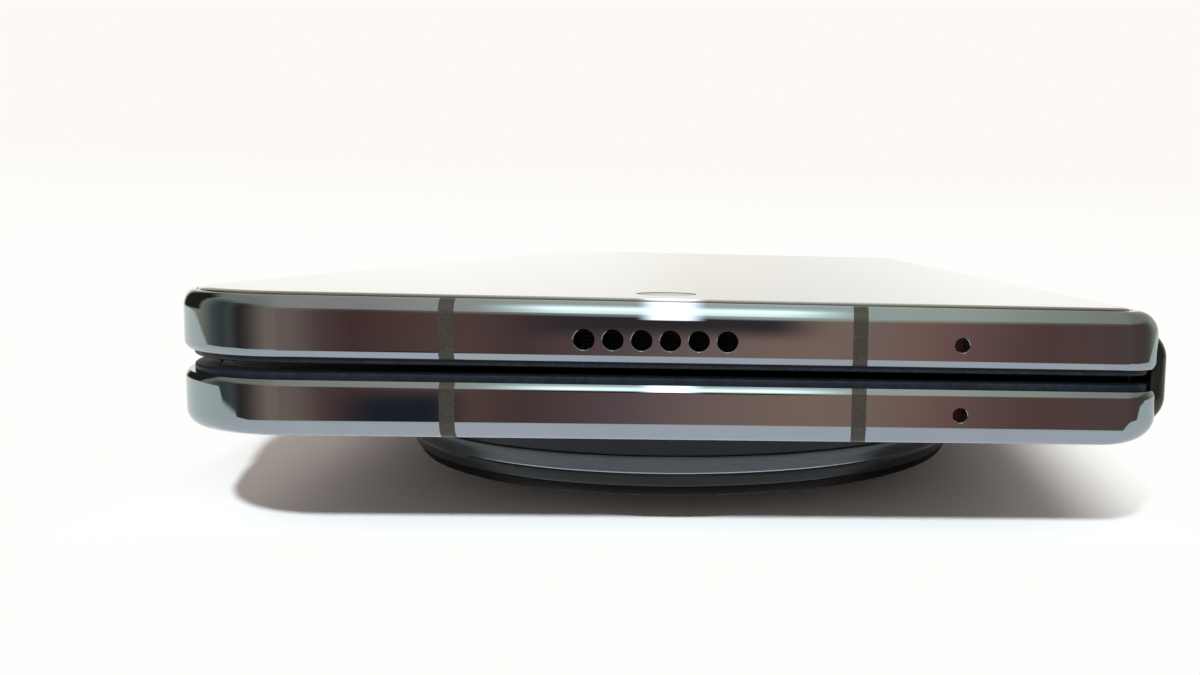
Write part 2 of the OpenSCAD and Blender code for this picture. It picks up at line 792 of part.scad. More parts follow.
module button_switches() {
    x0 = x_free + wall + flange_t + key_travel + 0.1;
    flex_x = x0 + volume_gap + 0.84;
    bead_end_x = x_free + wall + volume_gap + flange_t + bead_r;
    color(gold) in_camera() {
        key_switch(-power_y, x0 + volume_gap);
        key_switch(-volume_y - 6, x0 + volume_gap);
        key_switch(-volume_y + 6, x0 + volume_gap);
        box(flex_x, flex_x + 0.16, -volume_y - 9, -power_y + 3, button_mid_w - 1, button_mid_w + 0.9);
        box(bead_end_x + 0.05, flex_x + eps, -volume_y - 1.5, -volume_y + 1.5,
            button_mid_w - 0.8, button_mid_w + 0.8);
    }
}

module camera_magnets() {
    color(steel) in_camera() magnets([20, 54]);
}

module inner_display_camera() {
    color([0.08, 0.08, 0.1]) in_camera() difference() {
        inner_display();
        translate([inner_camera_x, inner_camera_y, display_recess + 0.1]) cylinder(r = 1.8, h = 3);
    }
}

module inner_bezel_camera() {
    color(bezel_black) in_camera() inner_bezel() camera_form();
}

module inner_camera() {
    color([0.15, 0.15, 0.17]) in_camera() translate([inner_camera_x, inner_camera_y, 0]) {
        translate([0, 0, display_recess + 0.12]) cylinder(r = 1.7, h = 2.4);
        translate([-2.2, -1.9, bay_w + 0.05]) cube([4.4, 4.8, 1.9]);
    }
}

module camera_hinge_leaves() {
    color(steel) in_camera() hinge_leaves(90);
}

module camera_hinge_shafts() {
    color(steel) in_camera() hinge_shafts();
}

module camera_screws() {
    color(steel) in_camera() leaf_screws();
}

// The spine's section: a round-cornered bar of radius r about both hinge axes
module spine_bar(r) {
    for (s = [-1, 1]) translate([axis_x, fold_z + s * axis_h]) circle(r);
    translate([axis_x, fold_z - axis_h]) square([r, 2 * axis_h]);
}

module spine_cover() {
    color([0.16, 0.17, 0.16]) along_y(-spine_l / 2, spine_l / 2) difference() {
        spine_bar(spine_r);
        spine_bar(spine_r - spine_wall);
        translate([axis_x - 9, fold_z - 9]) square([9 + spine_cut, 18]);
    }
}

module spine_end_caps() {
    t = 0.9;
    color([0.16, 0.17, 0.16]) for (s = [0, 1]) mirror([0, s, 0])
        along_y(spine_l / 2 - t, spine_l / 2) difference() {
            spine_bar(spine_r - spine_wall);
            translate([axis_x - 9, fold_z - 9]) square([9 + spine_cut, 18]);
        }
}

// Both ears, the base that joins them and the idler pins of one hinge module
module hinge_bracket() {
    inner_r = spine_r - spine_wall;
    ear_y = knuckle_l / 2 + ear_gap;
    base_x = axis_x + inner_r - 0.5;
    for (s = [0, 1]) mirror([0, s, 0]) along_y(ear_y, ear_y + ear_l) difference() {
        union() {
            for (side = [-1, 1]) translate([axis_x, fold_z + side * axis_h]) circle(knuckle_r);
            translate([axis_x - 0.35, fold_z - axis_h]) square([inner_r + 0.35, 2 * axis_h]);
            translate([axis_x, fold_z - axis_h - 0.3]) square([inner_r - 0.1, 2 * axis_h + 0.6]);
        }
        for (side = [-1, 1]) translate([axis_x, fold_z + side * axis_h]) circle(shaft_r + running);
    }
    box(base_x, base_x + 0.5, -ear_y - ear_l - 1.3, ear_y + ear_l + 1.3, fold_z - 1.1, fold_z + 1.1);
    for (side = [-1, 1]) rod(axis_x, fold_z + side * gear_pitch_r, pin_r, -ear_y - eps, ear_y + eps);
}

module hinge_brackets() {
    color(steel) for (y = module_ys) translate([0, y, 0]) hinge_bracket();
}

// Clips that grip both shafts outside the ears of each module
module torque_springs() {
    y0 = knuckle_l / 2 + ear_gap + ear_l + 0.1;
    clip_l = 1;
    color([0.5, 0.5, 0.52]) for (y = module_ys, s = [0, 1]) translate([0, y, 0]) mirror([0, s, 0])
        along_y(y0, y0 + clip_l) difference() {
            union() {
                for (side = [-1, 1]) translate([axis_x, fold_z + side * axis_h]) circle(0.55);
                translate([axis_x + 0.15, fold_z - axis_h]) square([0.3, 2 * axis_h]);
            }
            for (side = [-1, 1]) translate([axis_x, fold_z + side * axis_h]) circle(shaft_r + running);
        }
}

module spine_screws() {
    inner_r = spine_r - spine_wall;
    y0 = knuckle_l / 2 + ear_gap + ear_l + 0.75;
    color(steel) for (y = module_ys, s = [-1, 1])
        translate([axis_x + inner_r - 0.85, y + s * y0, fold_z]) rotate([0, 90, 0])
            cylinder(r = 0.4, h = 0.35);
}

// The loop of the flexible display inside the closed hinge, as [x, height above the fold plane]
function fold_curve(offset) =
    let (xc = fold_apex_x - fold_bulge, r = fold_bulge + offset)
    concat(
        [for (i = [0:fold_steps - 1]) let (u = i / fold_steps)
            [fold_x + 0.05 + (xc - fold_x - 0.05) * u,
                fold_half + offset + (fold_bulge - fold_half) * u * u * (3 - 2 * u)]],
        [for (i = [0:2 * fold_steps]) let (a = 90 - 90 * i / fold_steps) [xc + r * cos(a), r * sin(a)]],
        [for (i = [fold_steps - 1:-1:0]) let (u = i / fold_steps)
            [fold_x + 0.05 + (xc - fold_x - 0.05) * u,
                -fold_half - offset - (fold_bulge - fold_half) * u * u * (3 - 2 * u)]]
    );

module display_fold() {
    color([0.08, 0.08, 0.1]) translate([0, 0, fold_z]) along_y(0.1 - display_l / 2, display_l / 2 - 0.1)
        polygon(concat(fold_curve(fold_t), reversed(fold_curve(0))));
}

module idler_gears(side, turn) {
    gear_y = knuckle_l / 2 - gear_l;
    color(gold) for (y = module_ys)
        gear(axis_x, fold_z + side * gear_pitch_r, turn, pin_r + 0.02,
            y + gear_y + 0.1, y + knuckle_l / 2 - 0.1);
}

// Neighbouring gears face tooth to gap, so alternate gears are turned by half a tooth
module idler_gears_a() {
    idler_gears(-1, 90 + 180 / gear_teeth);
}

module idler_gears_b() {
    idler_gears(1, 90);
}

cover_frame();
cover_antenna_inserts();
cover_glass();
cover_gasket();
cover_display_panel();
cover_camera();
top_speaker();
top_speaker_mesh();
cover_microphone();
cover_battery();
cover_board();
vibration_motor();
cover_magnets();
inner_display_cover();
inner_bezel_cover();
cover_hinge_leaves();
cover_hinge_shafts();
cover_screws();
camera_frame();
camera_antenna_inserts();
back_cover();
back_gasket();
bump_base();
bump_ring();
bump_glass();
main_camera();
wide_camera();
tele_camera();
camera_flash();
main_board();
board_shields();
main_battery();
charging_coil();
usb_port();
bottom_speaker();
bottom_speaker_mesh();
camera_microphones();
sim_reader();
sim_tray();
power_button();
volume_button();
button_switches();
camera_magnets();
inner_display_camera();
inner_bezel_camera();
inner_camera();
camera_hinge_leaves();
camera_hinge_shafts();
camera_screws();
spine_cover();
spine_end_caps();
hinge_brackets();
torque_springs();
spine_screws();
display_fold();
idler_gears_a();
idler_gears_b();
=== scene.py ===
import math

import bmesh
import bpy
from mathutils import Matrix, Vector


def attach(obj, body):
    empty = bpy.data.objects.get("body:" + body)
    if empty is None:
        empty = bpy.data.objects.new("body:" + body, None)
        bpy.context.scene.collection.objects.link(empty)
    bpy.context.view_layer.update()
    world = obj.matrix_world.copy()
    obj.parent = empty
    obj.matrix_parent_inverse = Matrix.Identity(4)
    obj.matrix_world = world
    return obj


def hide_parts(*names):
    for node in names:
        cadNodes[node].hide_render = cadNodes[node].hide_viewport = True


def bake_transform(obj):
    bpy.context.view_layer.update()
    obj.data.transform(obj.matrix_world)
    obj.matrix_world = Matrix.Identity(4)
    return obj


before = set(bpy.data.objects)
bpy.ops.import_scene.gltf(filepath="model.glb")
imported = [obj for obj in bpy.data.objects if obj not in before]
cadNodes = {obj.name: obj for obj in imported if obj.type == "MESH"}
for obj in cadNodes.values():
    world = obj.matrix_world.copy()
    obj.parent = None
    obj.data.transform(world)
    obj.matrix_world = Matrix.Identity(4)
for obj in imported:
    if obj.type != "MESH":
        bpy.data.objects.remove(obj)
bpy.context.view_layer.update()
metre = 0.001           # pieces are built in mm and scaled as they are finished
weld = 0.0005           # mm, points nearer than this are merged
same = 1e-4             # mm, what counts as the same height when a rim is looked for
print("frame loaded")

cameraValues = {
    "place": (6.848, -153.193, 20.969),    # mm, before the top edge and just above it
    "turn": (84.3011, -1.4036, -3.6527),   # degrees
    "lens": 31.5663,
    "shift": (-0.19687, 0.0021),           # the phone stands right of the frame's middle
    "clip": (0.002, 20),                   # m
}
camera = bpy.data.objects.new("camera", bpy.data.cameras.new("camera"))
bpy.context.collection.objects.link(camera)
camera.location = Vector(cameraValues["place"]) * metre
camera.rotation_euler = [math.radians(a) for a in cameraValues["turn"]]
camera.data.lens = cameraValues["lens"]
camera.data.shift_x, camera.data.shift_y = cameraValues["shift"]
camera.data.clip_start, camera.data.clip_end = cameraValues["clip"]
bpy.context.scene.camera = camera
bpy.context.scene.view_settings.view_transform = "Standard"
print("camera made")


def linear(code, strength=1):       # turns an sRGB hex colour linear
    parts = [int(code[i:i + 2], 16) / 255 for i in (1, 3, 5)]
    return [strength * (c / 12.92 if c <= 0.04045 else ((c + 0.055) / 1.055) ** 2.4) for c in parts] + [1]


# Adds one node: settings are its own properties, inputs are values or links, stops are a ramp's
def addNode(tree, kind, settings=None, inputs=None, stops=()):
    node = tree.nodes.new("ShaderNode" + kind)
    for key, value in (settings or {}).items():
        setattr(node, key, value)
    for key, value in (inputs or {}).items():
        if isinstance(value, bpy.types.NodeSocket):
            tree.links.new(value, node.inputs[key])
        else:
            node.inputs[key].default_value = value
    for index, (place, colour) in enumerate(stops):
        ramp = node.color_ramp.elements
        stop = ramp[index] if index < len(ramp) else ramp.new(place)
        stop.position = place
        stop.color = colour
    return node


# Starts a material: the fixed values go on the shader's own sockets
def startMaterial(name, **fixed):
    material = bpy.data.materials.new(name)
    material.use_nodes = True
    tree = material.node_tree
    tree.nodes.clear()
    shader = addNode(tree, "BsdfPrincipled")
    for key, value in fixed.items():
        shader.inputs[key.replace("_", " ")].default_value = value
    addNode(tree, "OutputMaterial", inputs={"Surface": shader.outputs[0]})
    return material, tree, shader, addNode(tree, "TexCoord").outputs["Object"]


def perMm(size):         # a texture scale for a feature of this size in mm
    return 1000 / size


toneSpan, roughSpan = (0.35, 0.65), (0.3, 0.7)      # the parts of a noise's range that a grain uses
turnedGrain = (0.15, 0.15, 3)                       # stretches it into lines that run round a ring


# A material with a grain: colour between two tones, roughness between two values, and relief in mm
def grained(name, size, tones, rough, relief=0, detail=3, stretch=(1, 1, 1), **fixed):
    material, tree, shader, place = startMaterial(name, **fixed)
    if stretch != (1, 1, 1):
        place = addNode(tree, "Mapping", inputs={"Vector": place, "Scale": stretch}).outputs[0]
    noise = addNode(tree, "TexNoise", inputs={"Vector": place, "Scale": perMm(size), "Detail": detail})
    tone = addNode(tree, "ValToRGB", inputs={"Fac": noise.outputs[0]},
                   stops=[(at, linear(code)) for at, code in zip(toneSpan, tones)])
    matte = addNode(tree, "MapRange", inputs={0: noise.outputs[0], 1: roughSpan[0], 2: roughSpan[1],
                                              3: rough[0], 4: rough[1]})
    tree.links.new(tone.outputs[0], shader.inputs["Base Color"])
    tree.links.new(matte.outputs[0], shader.inputs["Roughness"])
    if relief:
        bump = addNode(tree, "Bump", inputs={"Height": noise.outputs[0], "Distance": relief * metre})
        tree.links.new(bump.outputs[0], shader.inputs["Normal"])
    return material


# Mirror-polished anodised aluminium: dark because it mirrors the room, with the faintest haze
polishedMetal = grained("polishedAnodisedAluminium", 9, ("#97A4AF", "#9DAAB4"), (0.006, 0.02), 0.0002, 2,
                        Metallic=1.0)

# Glass-filled plastic, moulded and polished with the frame: grey, half gloss, a fine speckle
bandPlastic = grained("polishedAntennaPlastic", 0.12, ("#201E1A", "#2A2822"), (0.26, 0.36), 0.0006, IOR=1.45)

# Chemically strengthened glass over a dark panel: black, with the picture area a shade bluer and a faint
# uneven haze as of a wiped screen
panel = {"middle": 0.825, "halfWidth": 33.2, "halfLength": 77.8, "soft": 0.1, "smear": 14}       # mm
coverGlass, tree, shader, place = startMaterial("strengthenedDisplayGlass", IOR=1.51, Coat_Weight=1.0,
                                                Coat_Roughness=0.02)
glassAxes = addNode(tree, "SeparateXYZ", inputs={0: place})
across = addNode(tree, "Math", {"operation": "ADD"}, {0: glassAxes.outputs["X"], 1: panel["middle"] * metre})
past = []
for value, reach in ((across.outputs[0], panel["halfWidth"]), (glassAxes.outputs["Y"], panel["halfLength"])):
    size = addNode(tree, "Math", {"operation": "ABSOLUTE"}, {0: value})
    past.append(addNode(tree, "Math", {"operation": "SUBTRACT"}, {0: size.outputs[0], 1: reach * metre}).outputs[0])
outside = addNode(tree, "Math", {"operation": "MAXIMUM"}, {0: past[0], 1: past[1]})
picture = addNode(tree, "MapRange", inputs={0: outside.outputs[0], 1: -panel["soft"] * metre,
                                            2: panel["soft"] * metre})
tone = addNode(tree, "ValToRGB", inputs={"Fac": picture.outputs[0]},
               stops=[(0, linear("#0D1013")), (1, linear("#060708"))])
tree.links.new(tone.outputs[0], shader.inputs["Base Color"])
smear = addNode(tree, "TexNoise", inputs={"Vector": place, "Scale": perMm(panel["smear"]), "Detail": 3})
matte = addNode(tree, "MapRange", inputs={0: smear.outputs[0], 1: 0.4, 2: 0.75, 3: 0.015, 4: 0.05})
tree.links.new(matte.outputs[0], shader.inputs["Roughness"])

# Uncoated glass over the front camera: a dim round spot in the cover glass
cameraWindow = grained("uncoatedCameraWindow", 6, ("#0B0B0D", "#101013"), (0.2, 0.26), IOR=1.4)

# Etched glass with a dark coating behind it: a silky blue-grey back
backGlass = grained("etchedBackGlass", 0.25, ("#232E35", "#27333B"), (0.26, 0.34), 0.0006, IOR=1.51)

# Bead-blasted anodised aluminium: a dark, soft-edged skirt round the cameras
skirtMetal = grained("blastedDarkAluminium", 0.15, ("#131C23", "#19232A"), (0.3, 0.4), 0.001, Metallic=0.6)

# Lathe-turned aluminium: satin grey with fine lines that run round the ring
ringMetal = grained("turnedSatinAluminium", 0.3, ("#4E5459", "#585E63"), (0.32, 0.42), 0.0008, 2, turnedGrain,
                    Metallic=1.0)

# Turned and hard-anodised aluminium: the near-black lower ring, satin so that its edges still show
rimMetal = grained("hardAnodisedAluminium", 0.3, ("#222426", "#2A2C2E"), (0.34, 0.44), 0.0008, 2, turnedGrain,
                   Metallic=0.7)

# Black silicone seal: dull, it swallows the light
sealRubber = grained("blackSiliconeSeal", 0.3, ("#060505", "#0A0909"), (0.5, 0.65), 0.002,
                     IOR=1.4, Specular_IOR_Level=0.12)

# Optical glass over black: deep gloss
lensBlack = grained("blackCameraGlass", 18, ("#060607", "#0A0A0C"), (0.01, 0.04), IOR=1.6)

# Soft polymer film over the folding panel: black, slightly wavy gloss
displayFilm = grained("foldingPolymerFilm", 12, ("#07080A", "#0A0C0F"), (0.3, 0.38), 0.0006, 2,
                      IOR=1.5, Specular_IOR_Level=0.35)

# Moulded thermoplastic elastomer: the soft navy-black lip that keeps the halves apart
lipPlastic = grained("mouldedElastomer", 0.6, ("#0D1219", "#141A22"), (0.38, 0.46),
                     IOR=1.45, Specular_IOR_Level=0.25)

# Polished dark-plated stainless steel: the spine, charcoal with a broad gloss
spineMetal = grained("darkPlatedSteel", 5, ("#3A3D3A", "#41443F"), (0.14, 0.22), 0.001, 2, Metallic=0.9)


carriedFinishes = {
    # name: (metallic, grain in mm, darker, lighter, roughness range, relief in mm, nodes)
    # milled: bright grey with a close grain
    "machinedHingeSteel": (1.0, 0.15, "#8C8F92", "#A2A5A8", (0.22, 0.38), 0.002,
                           ("cover_hinge_leaves", "cover_hinge_shafts", "camera_hinge_leaves",
                            "camera_hinge_shafts", "hinge_brackets", "torque_springs",
                            "spine_screws", "cover_screws", "camera_screws")),
    # cut: warm yellow, slightly dull
    "hobbedBrass": (1.0, 0.1, "#B08A45", "#C29C56", (0.25, 0.4), 0.001, ("idler_gears_a", "idler_gears_b")),
    # plated and tumbled: pale grey with a soft shine
    "nickelPlatedMagnet": (1.0, 0.6, "#A9A9A6", "#BBBBB8", (0.15, 0.3), 0.001,
                           ("cover_magnets", "camera_magnets")),
    # stamped from foam sheet: flat black
    "dieCutRubber": (0.0, 0.2, "#0C0D0E", "#131415", (0.6, 0.8), 0.004, ("cover_gasket", "back_gasket")),
    # bonded films: black with a blue cast
    "laminatedPanel": (0.0, 0.5, "#0B0B10", "#12121A", (0.2, 0.4), 0.001, ("cover_display_panel",)),
    # matt paint: no glare inside the lens
    "paintedCameraBarrel": (0.0, 0.15, "#0D0D0E", "#161617", (0.4, 0.6), 0.003,
                            ("cover_camera", "main_camera", "wide_camera", "tele_camera", "inner_camera")),
    # moulded diffuser: milky yellow-white
    "frostedFlashLens": (0.0, 0.3, "#D9D3BF", "#F1ECDC", (0.2, 0.4), 0.004, ("camera_flash",)),
    # injection-moulded: dark and dull
    "mouldedSpeakerBox": (0.0, 0.25, "#161718", "#1D1E20", (0.5, 0.65), 0.003, ("top_speaker", "bottom_speaker")),
    # plated contacts: soft yellow
    "goldPlatedSwitch": (1.0, 0.3, "#B89A5E", "#CBAF74", (0.25, 0.4), 0.001, ("button_switches",)),
    # woven dust mesh: the deep red inside the hole
    "meshedMicrophone": (0.0, 0.1, "#52120E", "#651A13", (0.4, 0.6), 0.004,
                         ("camera_microphones", "cover_microphone")),
    # wrapped in dark foil: slightly creased
    "foilWrappedCell": (0.2, 0.8, "#2C2D31", "#3A3B40", (0.35, 0.55), 0.01, ("cover_battery", "main_battery")),
    # lacquered: dark green with a low relief of tracks
    "solderMaskedBoard": (0.0, 0.4, "#123A2A", "#1A4A36", (0.3, 0.5), 0.006, ("cover_board", "main_board")),
    # stamped tin-plated sheet: pale and even
    "stampedShieldCan": (1.0, 0.5, "#9A9B9C", "#B0B1B2", (0.28, 0.42), 0.003,
                         ("board_shields", "usb_port", "sim_reader", "vibration_motor")),
    # enamelled wire: reddish, with fine ridges
    "woundCopper": (1.0, 0.12, "#A05A28", "#C67A3E", (0.25, 0.45), 0.01, ("charging_coil",)),
}
for name, (metallic, size, darker, lighter, rough, relief, members) in carriedFinishes.items():
    material = grained(name, size, (darker, lighter), rough, relief, Metallic=metallic)
    for member in members:
        cadNodes[member].data.materials.clear()
        cadNodes[member].data.materials.append(material)

# Woven steel mesh behind the speaker holes: crossed waves make the wires, drawn coarser than real so that
# they show
meshPitch = 0.9
shadedMeshSteel, tree, shader, place = startMaterial("wovenSteelMesh", Metallic=1.0, Roughness=0.4)
waves = [addNode(tree, "TexWave", {"bands_direction": along},
                 {"Vector": place, "Scale": perMm(meshPitch)}).outputs[0] for along in ("X", "Z")]
weave = addNode(tree, "Math", {"operation": "MAXIMUM"}, {0: waves[0], 1: waves[1]})
# near-black tones: painted shade of the deep holes the mesh sits behind, not the steel's own colour
tone = addNode(tree, "ValToRGB", inputs={"Fac": weave.outputs[0]},
               stops=[(0.5, linear("#030303")), (0.9, linear("#141415"))])
tree.links.new(tone.outputs[0], shader.inputs["Base Color"])
for member, material in (("top_speaker_mesh", shadedMeshSteel), ("bottom_speaker_mesh", shadedMeshSteel),
                         ("inner_display_cover", displayFilm), ("inner_display_camera", displayFilm),
                         ("sim_tray", polishedMetal)):
    cadNodes[member].data.materials.clear()
    cadNodes[member].data.materials.append(material)
print("materials made")


def asObject(bm, name):
    bmesh.ops.remove_doubles(bm, verts=bm.verts, dist=weld)
    bmesh.ops.recalc_face_normals(bm, faces=bm.faces)
    mesh = bpy.data.meshes.new(name)
    bm.to_mesh(mesh)
    bm.free()
    piece = bpy.data.objects.new(name, mesh)
    bpy.context.collection.objects.link(piece)
    return piece


# Cuts each tool out of a piece, keeps what they share, or joins them
def carve(piece, tools, operation="DIFFERENCE"):
    for tool in tools:
        cutter = asObject(tool, "cutter")
        step = piece.modifiers.new("carve", "BOOLEAN")
        step.object = cutter
        step.operation = operation
        step.solver = "EXACT"
        graph = bpy.context.evaluated_depsgraph_get()
        shaped = bpy.data.meshes.new_from_object(piece.evaluated_get(graph))
        piece.modifiers.clear()
        piece.data = shaped
        bpy.data.objects.remove(cutter)
    return piece


def reshape(piece, change):      # puts a placement on a piece's mesh and turns its faces outwards
    bm = bmesh.new()
    bm.from_mesh(piece.data)
    bmesh.ops.transform(bm, matrix=change, verts=bm.verts)
    bmesh.ops.recalc_face_normals(bm, faces=bm.faces)
    bm.to_mesh(piece.data)
    bm.free()


def dress(piece, material, sharp):         # scales a piece to metres and gives it its material and smooth shading
    reshape(piece, Matrix.Scale(metre, 4))
    piece.data.materials.clear()
    piece.data.materials.append(material)
    piece.data.polygons.foreach_set("use_smooth", [True] * len(piece.data.polygons))
    piece.data.set_sharp_from_angle(angle=math.radians(sharp))


def finishPiece(piece, body, material, replaced=(), sharp=38, even=True):
    dress(piece, material, sharp)
    if even:             # keeps the flats flat in the mirror material
        normals = piece.modifiers.new("evenNormals", "WEIGHTED_NORMAL")
        normals.keep_sharp = True
    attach(piece, body)
    if replaced:
        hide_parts(*replaced)


# Rounds some edges of a shape, or some corners of a flat face
def roundOff(bm, parts, radius, steps, affect="EDGES", clamp=True):
    bmesh.ops.bevel(bm, geom=parts, offset=radius, offset_type="OFFSET", segments=steps, profile=0.5,
                    affect=affect, material=-1, clamp_overlap=clamp)


# A block whose four edges along one axis are rounded, by lowRadius and highRadius across the next axis
def roundedBlock(low, high, axis, lowRadius, highRadius, steps=12):
    bm = bmesh.new()
    bmesh.ops.create_cube(bm, size=1)
    low, high = Vector(low), Vector(high)
    bmesh.ops.scale(bm, vec=high - low, verts=bm.verts)
    bmesh.ops.translate(bm, vec=(low + high) / 2, verts=bm.verts)
    across = 1 if axis == 0 else 0
    middle = (low[across] + high[across]) / 2
    for radius, sign in ((lowRadius, -1), (highRadius, 1)):
        if radius:
            edges = [e for e in bm.edges if abs(e.verts[0].co[axis] - e.verts[1].co[axis]) > 1e-6
                     and all(sign * (v.co[across] - middle) > 0 for v in e.verts)
                     and len(e.link_faces) == 2 and all(len(f.verts) >= 4 for f in e.link_faces)]
            roundOff(bm, edges, radius, steps, clamp=False)
    return bm


def box(x0, x1, y0, y1, w0, w1):
    return roundedBlock((x0, y0, w0), (x1, y1, w1), 2, 0, 0)


def turned(profile, centre=(0, 0), steps=96, closed=False):      # spins a profile of (radius, height) upright
    bm = bmesh.new()
    verts = [bm.verts.new((r, 0, h)) for r, h in profile]
    edges = [bm.edges.new(pair) for pair in zip(verts, verts[1:])]
    if closed:
        edges.append(bm.edges.new((verts[-1], verts[0])))
    bmesh.ops.spin(bm, geom=verts + edges, cent=(0, 0, 0), axis=(0, 0, 1), angle=2 * math.pi,
                   steps=steps, use_merge=True)
    bmesh.ops.translate(bm, vec=(centre[0], centre[1], 0), verts=bm.verts)
    bmesh.ops.remove_doubles(bm, verts=bm.verts, dist=weld)
    return bm


def rod(radius, low, high, centre=(0, 0), steps=96):
    return turned([(0, low), (radius, low), (radius, high), (0, high)], centre, steps)


def layAlongY(bm, x, w, degrees=-90):    # lays an upright shape down and moves it to its place
    bmesh.ops.rotate(bm, cent=(0, 0, 0), matrix=Matrix.Rotation(math.radians(degrees), 3, "X"), verts=bm.verts)
    bmesh.ops.translate(bm, vec=(x, 0, w), verts=bm.verts)
    return bm


# The two halves in their own layers: w goes up from the plane of the lip, x from the free edge to the hinge
plan = {
    "free": -36.3, "hinge": 35.7, "end": 80.0, "middle": -0.825,
    "cornerRadius": 10.0, "cornerSteps": 40, "hingeCorner": 3.0, "hingeSteps": 32, "wall": 1.9,
    "axisX": 34.38, "axisDepth": 1.1, "rollRadius": 1.32, "hingeZone": 20, "edgeSteps": 9,
    "pocketRadius": 2.32, "pocketEnd": 78.15,
    "bayFloor": 1.0, "baySide": 25.6, "bayCorner": 1, "above": 9,        # the bay for what is inside
    "loopSide": 29.7, "loopEnd": 78.2,                                  # room for the display's loop
    "leafPlaces": (-58, 0, 58), "leafSide": 25.59, "leafHalf": 3.9, "leafTop": 3.2,
}
lowerEdge = {"start": 0.95, "end": 0.5, "inset": 0.24, "curve": 1.6, "steps": 7}      # the chamfer by the lip
halves = {       # a recess is its inset, hinge side, corner radius at the hinge, and floor
    "cover": {"top": 4.7, "bevel": (0.75, 1.22), "corner": (1.7, 1.7), "lip": 11.3, "way": 1,
              "recesses": [(0.85, 33.8, 2.5, 4.2), (1.9, 32.5, 1.5, 3.5)]},
    "camera": {"top": 4.45, "bevel": (0.9, 1.15), "corner": (2.7, 2.0), "lip": 10.7, "way": -1,
               "recesses": [(0.95, 33.1, 2.5, 3.95)]},
}


def quarter(across, high, rise):         # how far a quarter ellipse has come in at this rise
    return across * (1 - math.sqrt(max(0, 1 - (rise / high) ** 2)))


def edgeInset(half, w):
    start = half["top"] - half["bevel"][1]
    if w > start:
        return quarter(*half["bevel"], w - start)
    if w < lowerEdge["start"]:
        share = (lowerEdge["start"] - w) / (lowerEdge["start"] - lowerEdge["end"])
        return lowerEdge["inset"] * share ** lowerEdge["curve"]
    return 0


def hingeInset(half, w):
    start = half["top"] - half["corner"][1]
    if w > start:
        return quarter(*half["corner"], w - start)
    drop = max(0, plan["axisDepth"] - w)
    return plan["hinge"] - plan["axisX"] - math.sqrt(plan["rollRadius"] ** 2 - drop ** 2)


# Builds a half's outer form from its plan, layer by layer, by insets
def halfBlock(half):
    bm = bmesh.new()
    bmesh.ops.create_grid(bm, x_segments=1, y_segments=1, size=1)
    bmesh.ops.scale(bm, vec=((plan["hinge"] - plan["free"]) / 2, plan["end"], 1), verts=bm.verts)
    bmesh.ops.translate(bm, vec=((plan["hinge"] + plan["free"]) / 2, 0, lowerEdge["start"]), verts=bm.verts)
    for sign, radius, steps in ((-1, plan["cornerRadius"], plan["cornerSteps"]),
                                (1, plan["hingeCorner"], plan["hingeSteps"])):
        corners = [v for v in bm.verts if sign * v.co.x > 0 and abs(v.co.y) > plan["end"] - 0.001]
        corners = sorted(corners, key=lambda v: sign * v.co.x)[-2:]
        roundOff(bm, corners, radius, steps, "VERTICES", False)
    made = bmesh.ops.extrude_face_region(bm, geom=bm.faces[:])["geom"]
    bmesh.ops.translate(bm, vec=(0, 0, plan["axisDepth"] - lowerEdge["start"]),
                        verts=[part for part in made if isinstance(part, bmesh.types.BMVert)])
    bmesh.ops.recalc_face_normals(bm, faces=bm.faces)
    upper = max(bm.faces, key=lambda f: f.calc_center_median().z)
    lower = min(bm.faces, key=lambda f: f.calc_center_median().z)
    arc = [math.sin(math.radians(90 * i / plan["edgeSteps"])) for i in range(plan["edgeSteps"] + 1)]
    climb = {round(half["top"] - high + high * share, 3)
             for high in (half["corner"][1], half["bevel"][1]) for share in arc}
    sink = [lowerEdge["start"] + (lowerEdge["end"] - lowerEdge["start"]) * i / lowerEdge["steps"]
            for i in range(1, lowerEdge["steps"] + 1)]
    for face, levels, w in ((upper, sorted(climb), plan["axisDepth"]), (lower, sink, lowerEdge["start"])):
        for level in levels:
            comeIn = edgeInset(half, level) - edgeInset(half, w)
            bmesh.ops.inset_individual(bm, faces=[face], thickness=comeIn, depth=abs(level - w),
                                       use_even_offset=True)
            shift = hingeInset(half, level) - hingeInset(half, w) - comeIn
            bmesh.ops.translate(bm, vec=(-shift, 0, 0), verts=[v for v in face.verts if v.co.x > plan["hingeZone"]])
            w = level
    return bm


# A plate of the phone's plan at an inset, with its own hinge side
def planPlate(inset, hingeSide, hingeRadius, w0, w1):
    return roundedBlock((plan["free"] + inset, inset - plan["end"], w0), (hingeSide, plan["end"] - inset, w1),
                        2, plan["cornerRadius"] - inset, hingeRadius, 16)


ports = {
    "bandNear": 14.25, "bandFar": 12.4, "bandWidth": 1.05, "bandDepth": 1.3, "bandFloor": 0.45, "past": 0.7,
    "speakerPitch": 1.98, "speakerRadius": 0.72, "speakerCount": 6, "speakerW": 2.05,
    "microphoneX": 20.675, "microphoneRadius": 0.52, "coverMicrophoneW": 2.1, "cameraMicrophoneW": 2.3,
    "mouth": 0.04, "reach": 0.3,           # a hole's chamfer, and how far its tool stands out
    "socketW": 2.45, "socketWidth": 8.9, "socketHeight": 2.8,
    "lowSpeakerX": -19.825, "lowMicrophoneX": -9.525,
    "trayX": 18.475, "trayW": 2.35, "trayWidth": 10.6, "trayHeight": 1.7,
    "buttonW": 2.4, "buttonHeight": 1.9, "powerY": -10, "powerLength": 12, "volumeY": -34, "volumeLength": 20,
    "innerCamera": (-25.825, -74), "innerCameraRadius": 1.9,
}


